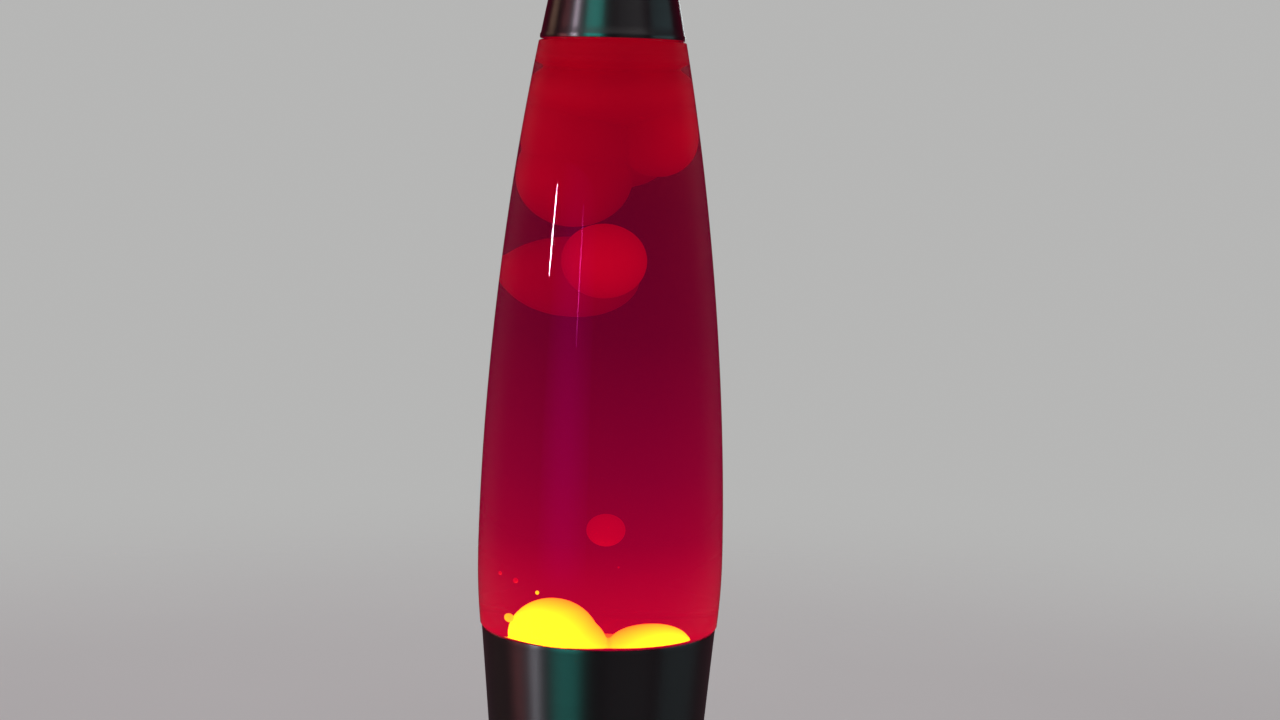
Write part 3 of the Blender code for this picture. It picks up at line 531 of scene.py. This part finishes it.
def bottle_inside(grow=0.0):
    """The inner wall from the floor's middle up to the foot of the neck. The liquid's is grown a little."""
    floor = -SPIGOT_DEPTH + FLOOR_THICKNESS
    low_radius = SPIGOT_RADIUS - GLASS_WALL + BASE_TAPER * (floor + SPIGOT_EDGE)
    edge = arc((low_radius - SPIGOT_EDGE, floor + SPIGOT_EDGE), SPIGOT_EDGE + grow, -90, 0, 8)
    profile = [(0.0, floor - grow)]
    profile += list(edge)
    wall = [point for point in bottle_wall(GLASS_WALL - grow) if point[1] > INSIDE_STEP_TOP][::-1]
    profile += list(bezier((SPIGOT_RADIUS - GLASS_WALL - 0.0008 + grow, -0.0100),
                           (SPIGOT_RADIUS - GLASS_WALL - 0.0002 + grow, -0.0040),
                           (wall[0][0] - 0.0006, INSIDE_STEP_TOP - 0.0040), wall[0], 12))[:-1]
    profile += wall
    seam = SEAM_Z - GAP - RIM_Z
    shoulder = bezier((SHOULDER_RADIUS - GLASS_WALL + grow, seam + 0.0010),
                      (SHOULDER_RADIUS - GLASS_WALL - 0.0012 + grow, seam + 0.0090),
                      (MOUTH_RADIUS + 0.0010 + grow, NECK_FOOT_HEIGHT - 0.0100),
                      (MOUTH_RADIUS + 0.0005 + grow, NECK_FOOT_HEIGHT), 16)
    return profile + list(shoulder)


def raised(profile):
    """From heights above the base's rim to heights in the frame."""
    return [(radius, height + RIM_Z) for radius, height in profile]


# ---- Cap, bottle and liquid ----

def make_cap(metal):
    reach = TOP_Z - SEAM_Z
    top_radius = CAP_LIP_RADIUS - CAP_TAPER * reach
    lean = math.degrees(math.atan(CAP_TAPER))
    centre = (top_radius - CAP_EDGE * 0.83, TOP_Z - CAP_EDGE)
    outside = [(0.0, TOP_Z - 0.0002), (0.004, TOP_Z - 0.00018), (centre[0] - 0.001, TOP_Z)]
    outside += list(arc(centre, CAP_EDGE, 90, lean, 10))
    outside += [(CAP_LIP_RADIUS - CAP_TAPER * share * reach, SEAM_Z + share * reach)
                for share in (0.85, 0.7, 0.5, 0.3, 0.15, 0.07)]
    outside += [(CAP_LIP_RADIUS - 0.0004, SEAM_Z + 0.0021), (CAP_LIP_RADIUS - 0.00005, SEAM_Z + 0.0014),
                (CAP_LIP_RADIUS, SEAM_Z + 0.0008), (CAP_LIP_RADIUS - 0.0001, SEAM_Z + 0.0002),
                (CAP_LIP_RADIUS - 0.0003, SEAM_Z)]
    cap = turned("cap_cone", sheet_profile(outside, CAP_SHEET), metal)
    finish_piece(cap, "cap", "brushed_aluminium", "cap_shell")


def make_bottle(glass, wetted):
    mouth = [(MOUTH_RADIUS, LIP_TOP_HEIGHT - 0.0008), (MOUTH_RADIUS + 0.0003, LIP_TOP_HEIGHT - 0.0002),
             (MOUTH_RADIUS + 0.0009, LIP_TOP_HEIGHT)]
    bottle = turned("bottle_glass", raised(bottle_outside() + bottle_inside() + mouth), glass)
    bottle.data.materials.append(wetted)
    for face in bottle.data.polygons:
        inwards = face.normal.x * face.center.x + face.normal.y * face.center.y < -1e-6
        on_floor = face.normal.z > 0.3 and face.center.z < RIM_Z
        if (inwards or on_floor) and face.center.z < RIM_Z + LIQUID_LEVEL:
            face.material_index = 1
    finish_piece(bottle, "bottle", "clear_glass", "glass_bottle")


def make_liquid(liquid):
    wall = [point for point in bottle_inside(LIQUID_OVERLAP) if point[1] < LIQUID_LEVEL - 0.0012]
    edge = wall[-1][0]
    top = [(edge - 0.0006, LIQUID_LEVEL), (edge - 0.0016, LIQUID_LEVEL - 0.0007),
           (edge - 0.0035, LIQUID_LEVEL - 0.0010), (0.0, LIQUID_LEVEL - 0.0010)]
    profile = top[::-1] + wall[::-1]
    fill = turned("liquid_volume", raised(profile), liquid)
    finish_piece(fill, "bottle", "purple_liquid", "liquid_fill")


def make_crown(lacquer):
    """Pressed crown closure, with the flutes round its skirt."""
    low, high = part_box("crown_closure")
    flutes = 21
    flute_depth = 0.00042
    steps = flutes * 12
    sheet = 0.00028
    top_ends = 0.001   # drop at which the flat top has turned down into the skirt
    # Radius, drop below the top, and share of the full flute depth.
    sections = ((0.0, 0.0, 0.0), (0.0090, 0.0, 0.0), (0.0118, 0.0001, 0.0), (0.0131, 0.0007, 0.0),
                (0.0139, 0.0017, 0.05), (0.0144, 0.0030, 0.45), (0.0148, 0.0044, 0.8), (0.0151, 0.0056, 1.0),
                (0.0153, high.z - low.z, 1.0))
    bm = bmesh.new()
    skins = []
    for inset in (0.0, sheet):
        rings = []
        for radius, drop, share in sections:
            height = high.z - drop - (inset if drop < top_ends else 0.0)
            if radius == 0:
                rings.append([bm.verts.new((0, 0, height))])
                continue
            ring = []
            for step in range(steps):
                angle = 2 * math.pi * step / steps
                ripple = flute_depth * share * math.cos(flutes * angle)
                reach = radius + ripple - (inset if drop >= top_ends else inset * 0.5)
                ring.append(bm.verts.new((reach * math.cos(angle), reach * math.sin(angle), height)))
            rings.append(ring)
        skins.append(rings)
    for rings, flip in ((skins[0], False), (skins[1], True)):
        for upper, lower in zip(rings, rings[1:]):
            for step in range(steps):
                after = (step + 1) % steps
                if len(upper) == 1:
                    corners = [upper[0], lower[step], lower[after]]
                else:
                    corners = [upper[step], lower[step], lower[after], upper[after]]
                bm.faces.new(corners[::-1] if flip else corners)
    outer, inner = skins[0][-1], skins[1][-1]
    for step in range(steps):
        after = (step + 1) % steps
        bm.faces.new((outer[step], inner[step], inner[after], outer[after]))
    mesh = bpy.data.meshes.new("crown_cap")
    bm.to_mesh(mesh)
    bm.free()
    crown = shade(link("crown_cap", mesh, lacquer), 50)
    finish_piece(crown, "bottle", "crown_steel", "crown_closure")


def make_seal(liner):
    low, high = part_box("crown_seal")
    edge = 0.0002
    profile = [(0.0, high.z)] + list(arc((high.x - edge, high.z - edge), edge, 90, 0, 3))
    profile += list(arc((high.x - edge, low.z + edge), edge, 0, -90, 3)) + [(0.0, low.z)]
    seal = turned("seal_disc", profile, liner, ROUND)
    finish_piece(seal, "bottle", "seal_liner", "crown_seal")


def make_coil(metal):
    """The wire coil that lies in a ring on the bottle's floor and carries the heat into the wax."""
    low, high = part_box("heat_coil")
    wire = 0.00035
    minor = (high.z - low.z) / 2 - wire
    ring = high.x - (high.z - low.z) / 2
    middle = (low.z + high.z) / 2
    turns = 64
    per_turn = 10
    curve = bpy.data.curves.new("coil_wire", "CURVE")
    curve.dimensions = "3D"
    curve.bevel_depth = wire
    curve.bevel_resolution = 2
    spline = curve.splines.new("POLY")
    spline.points.add(turns * per_turn - 1)
    for index, point in enumerate(spline.points):
        around = 2 * math.pi * index / (turns * per_turn)
        twist = 2 * math.pi * index / per_turn
        radius = ring + minor * math.cos(twist)
        point.co = (radius * math.cos(around), radius * math.sin(around), middle + minor * math.sin(twist), 1)
    spline.use_cyclic_u = True
    coil = link("coil_wire", curve, metal)
    finish_piece(coil, "bottle", "steel_wire", "heat_coil")


# ---- Wax ----

def ellipsoid(centre, half_sizes, detail=5):
    bm = bmesh.new()
    bmesh.ops.create_icosphere(bm, subdivisions=detail, radius=1)
    bmesh.ops.scale(bm, vec=half_sizes, verts=bm.verts)
    bmesh.ops.translate(bm, vec=centre, verts=bm.verts)
    return bm


def wax_form(name, ellipsoids, material, voxel, soften, unevenness, extra=None):
    """Melts several ellipsoids, and an extra mesh, into one skin, softens it and adds a slow unevenness."""
    whole = bmesh.new()
    for centre, half_sizes in ellipsoids:
        part = ellipsoid(centre, half_sizes)
        mesh = bpy.data.meshes.new("part")
        part.to_mesh(mesh)
        part.free()
        whole.from_mesh(mesh)
        bpy.data.meshes.remove(mesh)
    if extra is not None:
        whole.from_mesh(extra)
    mesh = bpy.data.meshes.new(name)
    whole.to_mesh(mesh)
    whole.free()
    rough = link(name + "_rough", mesh, material)
    remesh = rough.modifiers.new("melt", "REMESH")
    remesh.mode = "VOXEL"
    remesh.voxel_size = voxel
    remesh.use_smooth_shade = True
    soft = rough.modifiers.new("soften", "SMOOTH")
    soft.factor = 0.5
    soft.iterations = soften
    form = evaluated_copy(rough, name, material)
    points = [vertex.co.copy() for vertex in form.data.vertices]
    ways = [vertex.normal.copy() for vertex in form.data.vertices]
    for vertex, point, way in zip(form.data.vertices, points, ways):
        vertex.co = point + way * noise.noise(point * 55.0) * unevenness
    return form


def rim_point(x, y, height):
    """A point at a height above the base's rim."""
    return (x, y, RIM_Z + height)


def make_wax_pool(material):
    """The molten mound over the coil, with the tall left hump and the low right one."""
    low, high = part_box("wax_pool")
    floor = low.z - RIM_Z
    foot = high.x
    profile = [(0.0, -0.0064), (0.010, -0.0066), (0.018, -0.0072), (0.0222, -0.0086),
               (foot - 0.0022, -0.0105), (foot - 0.0004, -0.0130), (foot, -0.0160)]
    profile += list(arc((foot - 0.0012, floor + 0.0012), 0.0012, 0, -90, 4)) + [(0.0, floor)]
    mound = turned("mound", raised(profile), material, ROUND)
    extra = mound.data
    bpy.data.objects.remove(mound)
    humps = [(rim_point(-0.0120, -0.0020, -0.0022), (0.0124, 0.0130, 0.0140)),
             (rim_point(-0.0082, -0.0020, -0.0060), (0.0110, 0.0125, 0.0130)),
             (rim_point(0.0133, 0.0010, -0.0050), (0.0110, 0.0125, 0.0080)),
             (rim_point(0.0020, 0.0120, -0.0095), (0.0140, 0.0090, 0.0070))]
    pool = wax_form("wax_mound", humps, material, 0.00055, 14, 0.0002, extra)
    finish_piece(pool, "bottle", "yellow_wax", "wax_pool")


def make_wax_top(material):
    lobes = [(rim_point(0.0, 0.0, 0.1866), (0.0238, 0.0200, 0.0125)),
             (rim_point(0.0, 0.0, 0.2035), (0.0216, 0.0212, 0.0095)),
             (rim_point(0.0, 0.0, 0.1990), (0.0218, 0.0206, 0.0060)),
             (rim_point(-0.0080, 0.0010, 0.1735), (0.0172, 0.0150, 0.0190)),
             (rim_point(-0.0094, 0.0020, 0.1577), (0.0155, 0.0150, 0.0176)),
             (rim_point(0.0126, 0.0000, 0.1745), (0.0122, 0.0125, 0.0165)),
             (rim_point(0.0040, 0.0070, 0.1690), (0.0120, 0.0110, 0.0150))]
    mass = wax_form("wax_top", lobes, material, 0.0006, 16, 0.0003)
    finish_piece(mass, "top_mass", "red_wax", "wax_top_mass")


def make_blob(name, node, body, material, slot="red_wax", voxel=0.0005):
    low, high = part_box(node)
    centre = (low + high) / 2
    half = (high - low) / 2
    blob = wax_form(name, [(centre, half)], material, voxel, 4, half.z * 0.03)
    finish_piece(blob, body, slot, node)


def make_droplets(brighter_painted_glow, dimmer_painted_glow):
    """Specks of wax that hang in the liquid, each no bigger than a seed. The lowest takes the drop's brighter
    painted glow, the rest the red wax's dimmer one.
    """
    specks = ((-0.0183, -0.016, 0.0155, 0.0006), (-0.0235, -0.006, 0.0177, 0.0008),
              (-0.0280, -0.004, 0.0195, 0.0006), (0.0052, -0.010, 0.0242, 0.0003))
    for index, (x, y, height, radius) in enumerate(specks):
        bm = ellipsoid(rim_point(x, y, height), (radius, radius, radius * 1.1), 3)
        mesh = bpy.data.meshes.new(f"droplet_{index + 1}")
        bm.to_mesh(mesh)
        bm.free()
        drop = shade(link(f"droplet_{index + 1}", mesh, dimmer_painted_glow if index else brighter_painted_glow))
        finish_piece(drop, "bottle", "red_wax")


# ---- Base ----

def make_upper_cone(metal):
    waist = base_radius(WAIST_Z)
    edge = 0.00045
    outside = list(arc((RIM_RADIUS - edge, RIM_Z - edge), edge, 90, 0, 5))
    outside += [(base_radius(RIM_Z - drop), RIM_Z - drop)
                for drop in (0.002, 0.006, 0.014, 0.026, 0.040, 0.055, 0.068)]
    outside += list(rounded_corner((base_radius(WAIST_Z + 0.010), WAIST_Z + 0.010), (waist, WAIST_Z),
                                   (FLANGE_RADIUS, WAIST_Z), 0.0016, 6))
    outside += [(FLANGE_RADIUS + 0.0004, WAIST_Z), (FLANGE_RADIUS, WAIST_Z + 0.0001)]
    cone = turned("upper_cone", sheet_profile(outside, SHEET), metal)
    finish_piece(cone, "base", "brushed_aluminium", "base_upper_cone")


def make_foot_cone(metal):
    waist = base_radius(WAIST_Z)
    top = FOOT_TOP_Z
    slope = (FOOT_RADIUS - waist) / (top - FOOT_EDGE_Z)
    outside = [(FLANGE_RADIUS, top), (FLANGE_RADIUS + 0.002, top)]
    outside += list(rounded_corner((FLANGE_RADIUS, top), (waist, top),
                                   (waist + slope * 0.01, top - 0.01), 0.0016, 6))
    outside += [(waist + slope * (top - z), z) for z in (0.046, 0.040, 0.032, 0.024, 0.016, 0.010, 0.006)]
    edge = list(arc((FOOT_RADIUS - 0.0005, FOOT_EDGE_Z + 0.0005), 0.0005, 24, -90, 5))
    sheet = sheet_profile(outside, SHEET)
    cone = turned("foot_cone", sheet[:len(outside)] + edge + sheet[len(outside):], metal)
    finish_piece(cone, "base", "brushed_aluminium", "base_foot_cone")


def make_feet(rubber):
    for index in range(1, 5):
        node = f"rubber_foot_{index}"
        low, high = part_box(node)
        centre = ((low.x + high.x) / 2, (low.y + high.y) / 2)
        radius = (high.x - low.x) / 2
        profile = [(0.0, high.z)] + list(arc((radius - 0.0004, high.z - 0.0004), 0.0004, 90, 0, 3))
        profile += list(arc((radius - 0.0010, low.z + 0.0009), 0.0009, 0, -90, 5))
        profile += [(radius * 0.55, low.z), (radius * 0.45, low.z + 0.0004), (0.0, low.z + 0.0004)]
        foot = turned(f"foot_pad_{index}", profile, rubber, ROUND, centre)
        finish_piece(foot, "base", "black_rubber", node)


def smooth_copies(nodes, body, slot, material, chamfer=CHAMFER):
    """Hardware that keeps its CAD shape, with its edges chamfered and its turned sides shaded smooth."""
    for node in nodes:
        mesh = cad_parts[node].data.copy()
        mesh.name = node + "_made"
        bm = bmesh.new()
        bm.from_mesh(mesh)
        bmesh.ops.remove_doubles(bm, verts=bm.verts, dist=1e-6)
        bmesh.ops.dissolve_limit(bm, angle_limit=math.radians(1), verts=bm.verts, edges=bm.edges)
        bm.to_mesh(mesh)
        bm.free()
        piece = link(node + "_made", mesh, material)
        if chamfer:
            bevel = piece.modifiers.new("edges", "BEVEL")
            bevel.width = chamfer
            bevel.segments = 2
            bevel.limit_method = "ANGLE"
            bevel.angle_limit = math.radians(40)
        shade(piece, 42)
        finish_piece(piece, body, slot, node)


def thread_radius(angle, height):
    """Radius of the bulb's rounded screw thread at an angle and a height."""
    phase = height / THREAD_PITCH - angle / (2 * math.pi)
    return THREAD_CORE + (THREAD_CREST - THREAD_CORE) * (0.5 + 0.5 * math.cos(2 * math.pi * phase))


def make_screw_shell(metal):
    """The bulb's rolled screw shell, with its E14 thread."""
    low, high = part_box("bulb_screw_shell")
    steps = 72
    rows = 64
    thread_low, thread_high = low.z + 0.0018, low.z + 0.0160
    run_out = 0.0015
    plain_radius = 0.0062
    foot_height, foot_draw = 0.0010, 0.0008
    flare_height, flare_reach = 0.0024, 0.0012
    wall = 0.00035
    bm = bmesh.new()
    rings = []
    for inset in (0.0, wall):
        for row in range(rows + 1):
            z = low.z + (high.z - low.z) * row / rows
            fade = min(max((z - thread_low) / run_out, 0), 1) * min(max((thread_high - z) / run_out, 0), 1)
            flare = max((z - (high.z - flare_height)) / flare_height, 0) ** 2 * flare_reach
            start = min((z - low.z) / foot_height, 1)
            ring = []
            for step in range(steps):
                angle = 2 * math.pi * step / steps
                plain = plain_radius - foot_draw * (1 - start) ** 2
                thread = thread_radius(angle, z - low.z)
                radius = plain + (thread - plain) * fade + flare - inset
                ring.append(bm.verts.new((radius * math.cos(angle), radius * math.sin(angle), z)))
            rings.append(ring)
    outer, inner = rings[:rows + 1], rings[rows + 1:]
    for skin, flip in ((outer, True), (inner, False)):
        for upper, lower in zip(skin[1:], skin):
            for step in range(steps):
                after = (step + 1) % steps
                corners = [upper[step], lower[step], lower[after], upper[after]]
                bm.faces.new(corners if flip else corners[::-1])
    for first, second, flip in ((outer[-1], inner[-1], False), (outer[0], inner[0], True)):
        for step in range(steps):
            after = (step + 1) % steps
            corners = [first[step], first[after], second[after], second[step]]
            bm.faces.new(corners[::-1] if flip else corners)
    bmesh.ops.recalc_face_normals(bm, faces=bm.faces)
    mesh = bpy.data.meshes.new("bulb_thread")
    bm.to_mesh(mesh)
    bm.free()
    shell = shade(link("bulb_thread", mesh, metal), 60)
    finish_piece(shell, "bulb", "nickel", "bulb_screw_shell")


def make_envelope(material):
    """Reflector bulb: a domed front, the widest place, the silvered cone and the neck."""
    low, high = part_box("bulb_envelope")
    top = high.z
    outside = [(0.0, top)] + list(arc((0.0, top - BULB_FRONT_CURVE), BULB_FRONT_CURVE, 89, 52, 14))
    outside += list(bezier(outside[-1], (0.0183, top - 0.0077), (BULB_RADIUS, top - 0.0100),
                           (BULB_RADIUS, top - 0.0125), 6))[1:]
    outside += list(bezier((BULB_RADIUS, top - 0.0130), (BULB_RADIUS, top - 0.0200), (0.0145, top - 0.0280),
                           (0.0110, top - 0.0330), 12))
    outside += list(bezier((0.0105, top - 0.0338), (0.0080, top - 0.0375), (BULB_NECK_RADIUS, top - 0.0395),
                           (BULB_NECK_RADIUS, top - 0.0420), 8))
    outside += [(BULB_NECK_RADIUS, low.z)]
    bulb = turned("bulb_glass", sheet_profile(outside, BULB_SHEET), material, ROUND)
    finish_piece(bulb, "bulb", "frosted_glass", "bulb_envelope")


# ---- Stage ----

def make_floor():
    """Pale and matt, but dim in mirrorings, and see-through away from the lamp."""
    bm = bmesh.new()
    bmesh.ops.create_grid(bm, x_segments=2, y_segments=2, size=30)
    mesh = bpy.data.meshes.new("floor")
    bm.to_mesh(mesh)
    bm.free()
    m = Nodes("floor_pale", Roughness=0.9, Specular_IOR_Level=0.0)
    pale = m.ramp(m.noise(3.0, 3.0), (0.3, (0.77, 0.77, 0.765)), (0.7, (0.80, 0.80, 0.795)))
    path = m.tree.nodes.new("ShaderNodeLightPath")
    m.feed("Base Color", mixed(m.tree, path.outputs["Is Reflection Ray"], pale, FLOOR_MIRRORED))
    away = m.add("ShaderNodeVectorMath", Vector=m.place((1, 1, 0)))
    away.operation = "LENGTH"
    fade = m.add("ShaderNodeMapRange", Value=away.outputs["Value"])
    fade.interpolation_type = "SMOOTHERSTEP"
    for socket, value in (("From Min", FLOOR_FADE[0]), ("From Max", FLOOR_FADE[1]),
                          ("To Min", 1.0), ("To Max", 0.0)):
        m.set(fade, socket, value)
    m.feed("Alpha", fade.outputs["Result"])
    floor = link("floor", mesh, m.material)


def add_light(name, azimuth, elevation, distance, size, power, colour=(1, 1, 1)):
    """A soft rectangular light that faces the lamp. Azimuth 0 is at the front and 90 at the right."""
    light = bpy.data.lights.new(name, "AREA")
    light.shape = "RECTANGLE"
    light.size, light.size_y = size
    light.energy = power
    light.color = colour
    obj = bpy.data.objects.new(name, light)
    bpy.context.scene.collection.objects.link(obj)
    turn, rise = math.radians(azimuth), math.radians(elevation)
    away = Vector((math.sin(turn) * math.cos(rise), -math.cos(turn) * math.cos(rise), math.sin(rise)))
    obj.location = Vector((0, 0, LIGHTS_AIM_Z)) + away * distance
    obj.rotation_mode = "QUATERNION"
    obj.rotation_quaternion = away.to_track_quat("Z", "Y")
    obj.visible_camera = False
    return obj


def soften_edges(light):
    """Fades an area light from its middle to its four edges."""
    light.use_nodes = True
    tree = light.node_tree
    split = tree.nodes.new("ShaderNodeSeparateXYZ")
    tree.links.new(tree.nodes.new("ShaderNodeNewGeometry").outputs["Parametric"], split.inputs["Vector"])
    fades = []
    for axis in ("X", "Y"):
        ramp = tree.nodes.new("ShaderNodeValToRGB")
        ramp.color_ramp.interpolation = "B_SPLINE"
        ramp.color_ramp.elements[0].color = (0, 0, 0, 1)
        ramp.color_ramp.elements[1].color = (0, 0, 0, 1)
        ramp.color_ramp.elements.new(0.35).color = (1, 1, 1, 1)
        ramp.color_ramp.elements.new(0.65).color = (1, 1, 1, 1)
        tree.links.new(split.outputs[axis], ramp.inputs["Fac"])
        fades.append(ramp.outputs["Color"])
    product = tree.nodes.new("ShaderNodeMath")
    product.operation = "MULTIPLY"
    for index, fade in enumerate(fades):
        tree.links.new(fade, product.inputs[index])
    tree.links.new(product.outputs["Value"], tree.nodes["Emission"].inputs["Strength"])


def make_world():
    """Dim, but paler behind the lamp. The camera sees a pale grey, and mirrorings a dim, reddish room."""
    world = bpy.data.worlds.new("studio")
    bpy.context.scene.world = world
    world.use_nodes = True
    tree = world.node_tree
    way = tree.nodes.new("ShaderNodeTexCoord")
    split = tree.nodes.new("ShaderNodeSeparateXYZ")
    tree.links.new(way.outputs["Generated"], split.inputs["Vector"])
    spread = tree.nodes.new("ShaderNodeMapRange")
    spread.interpolation_type = "SMOOTHSTEP"
    tree.links.new(split.outputs["Y"], spread.inputs["Value"])
    for socket, value in (("From Min", 0.20), ("From Max", 0.90), ("To Min", 0.035), ("To Max", 0.34)):
        spread.inputs[socket].default_value = value
    mirrored = tree.nodes.new("ShaderNodeValToRGB")
    tree.links.new(split.outputs["Y"], mirrored.inputs["Fac"])
    for element, position, colour in zip(mirrored.color_ramp.elements, (0.35, 0.95),
                                         ((0.020, 0.006, 0.014), (0.095, 0.004, 0.018))):
        element.position, element.color = position, (*colour, 1)
    path = tree.nodes.new("ShaderNodeLightPath")
    seen = mixed(tree, path.outputs["Is Reflection Ray"], spread.outputs["Result"], mirrored.outputs["Color"])
    seen = mixed(tree, path.outputs["Is Camera Ray"], seen, (0.47, 0.47, 0.465))
    tree.links.new(seen, tree.nodes["Background"].inputs["Color"])
    world.cycles.sampling_method = "NONE"


def receivers(name, pieces):
    """A collection of the only pieces that a linked light reaches."""
    made = bpy.data.collections.new(name)
    for piece in pieces:
        made.objects.link(bpy.data.objects[piece])
    return made


def light_the_stage():
    """A narrow key for the bottle's highlight, the lights of the glass and of the metal, and an overhead."""
    key = add_light("key_strip", -64, 9.3, 2.0, (0.046, 0.21), 2.9, (1.0, 0.72, 0.92))
    key.data.shape = "ELLIPSE"
    bottle = receivers("bottle_only", ("bottle_glass",))
    for name, azimuth, elevation, size, power, colour in BOTTLE_LIGHTS:
        light = add_light(name, azimuth, elevation, LINKED_DISTANCE, size, power, colour)
        soften_edges(light.data)
        light.light_linking.receiver_collection = bottle
    metal = receivers("spun_metal", METAL_PIECES)
    for name, azimuth, elevation, size, power, colour in METAL_LIGHTS:
        light = add_light(name, azimuth, elevation, LINKED_DISTANCE, size, power, colour)
        light.light_linking.receiver_collection = metal
    overhead = add_light("overhead", 0, 90, 2.6, (2.6, 2.6), 50)
    overhead.location.y = 0.9


def make_camera():
    """Long lens in front of the lamp, a little above the glass's middle, tipped down and slightly rolled."""
    data = bpy.data.cameras.new("camera")
    data.sensor_width = 36.0
    data.lens = CAMERA_LENS
    camera = bpy.data.objects.new("camera", data)
    bpy.context.scene.collection.objects.link(camera)
    level = math.cos(CAMERA_PITCH)
    forward = Vector((math.sin(CAMERA_YAW) * level, math.cos(CAMERA_YAW) * level, -math.sin(CAMERA_PITCH)))
    right = forward.cross(Vector((0, 0, 1))).normalized()
    up = right.cross(forward)
    leaning_right = right * math.cos(CAMERA_ROLL) + up * math.sin(CAMERA_ROLL)
    leaning_up = up * math.cos(CAMERA_ROLL) - right * math.sin(CAMERA_ROLL)
    turn = Matrix((leaning_right, leaning_up, -forward)).transposed()
    camera.matrix_world = Matrix.Translation((0, -CAMERA_DISTANCE, RIM_Z + CAMERA_HEIGHT)) @ turn.to_4x4()
    bpy.context.scene.camera = camera


# ---- Everything together ----

def build():
    bpy.context.scene.view_settings.view_transform = "Standard"
    metal = brushed_aluminium("aluminium_brushed", 0.25)
    steel = plated_steel()
    brass = plain_metal("brass_stamped", (0.78, 0.58, 0.25), 0.30, 220.0)
    nickel = plain_metal("nickel_plated", (0.66, 0.63, 0.58), 0.24, 260.0)
    wire = plain_metal("wire_steel", (0.60, 0.60, 0.62), 0.30, 400.0)
    lacquer = plain_metal("lacquer_gold", (0.86, 0.62, 0.24), 0.36, 150.0, 0.35)
    liner = moulded("liner_cork", (0.66, 0.60, 0.50), 0.75)
    rubber = moulded("rubber_black", (0.035, 0.035, 0.036), 0.70)
    ceramic = moulded("ceramic_cream", (0.82, 0.78, 0.68), 0.48, 300.0, 0.12)
    plastic = moulded("plastic_white", (0.82, 0.82, 0.79), 0.42)
    vitrite = moulded("vitrite_black", (0.03, 0.03, 0.035), 0.20, 200.0, 0.05)
    brown = moulded("insulation_brown", (0.22, 0.09, 0.04), 0.42)
    blue = moulded("insulation_blue", (0.03, 0.10, 0.42), 0.42)
    glass = clear_glass()
    red = red_wax()
    make_cap(metal)
    make_bottle(glass, clear_glass("glass_wetted", (0.0, 0.0, 0.0)))
    make_liquid(purple_liquid())
    make_crown(lacquer)
    make_seal(liner)
    make_coil(wire)
    make_wax_pool(painted_glow_wax())
    make_wax_top(red)
    # The riser and the back blob take copies of the red wax with more painted glow.
    make_blob("wax_rising", "wax_riser", "riser", red_wax("wax_red_painted_brighter", 1.2))
    make_blob("wax_front", "wax_blob_front", "front_blob", red)
    make_blob("wax_back", "wax_blob_back", "back_blob", red_wax("wax_red_painted_brightest", 1.3))
    drop = drop_wax()
    make_blob("wax_ball", "wax_bead", "bead", drop, voxel=0.0002)
    make_droplets(drop, red)
    make_upper_cone(metal)
    make_foot_cone(metal)
    make_feet(rubber)
    make_screw_shell(nickel)
    make_envelope(lit_bulb())
    smooth_copies(("bulb_contact",), "bulb_foot", "nickel", nickel)
    smooth_copies(("bulb_insulator",), "bulb", "black_vitrite", vitrite)
    smooth_copies(("bulb_stem",), "bulb", "clear_glass", glass, 0)
    smooth_copies(("bulb_filament",), "bulb", "steel_wire", wire, 0)
    smooth_copies(("cord_grommet",), "base", "black_rubber", rubber, 0.0003)
    smooth_copies(("lampholder_body",), "base", "cream_ceramic", ceramic, 0.0003)
    smooth_copies(("lampholder_sleeve", "lampholder_contact", "earth_tag"), "base", "brass", brass)
    smooth_copies(("terminal_block",), "base", "white_plastic", plastic, 0)
    smooth_copies(("lead_live",), "base", "brown_insulation", brown, 0)
    smooth_copies(("lead_neutral",), "base", "blue_insulation", blue, 0)
    smooth_copies(("lead_earth",), "base", "green_insulation", striped_insulation(), 0)
    hardware = ["bottle_seat", "bottom_plate", "holder_nipple", "holder_locknut", "lampholder_bracket",
                "earth_screw"]
    hardware += [f"bracket_{kind}_{index}" for kind in ("screw", "nut") for index in (1, 2)]
    hardware += [f"waist_{kind}_{index}" for kind in ("screw", "nut") for index in (1, 2, 3)]
    hardware += [f"{kind}_screw_{index}" for kind in ("plate", "terminal") for index in (1, 2, 3)]
    smooth_copies(hardware, "base", "zinc_steel", steel)
    make_floor()
    make_world()
    light_the_stage()
    make_camera()


build()
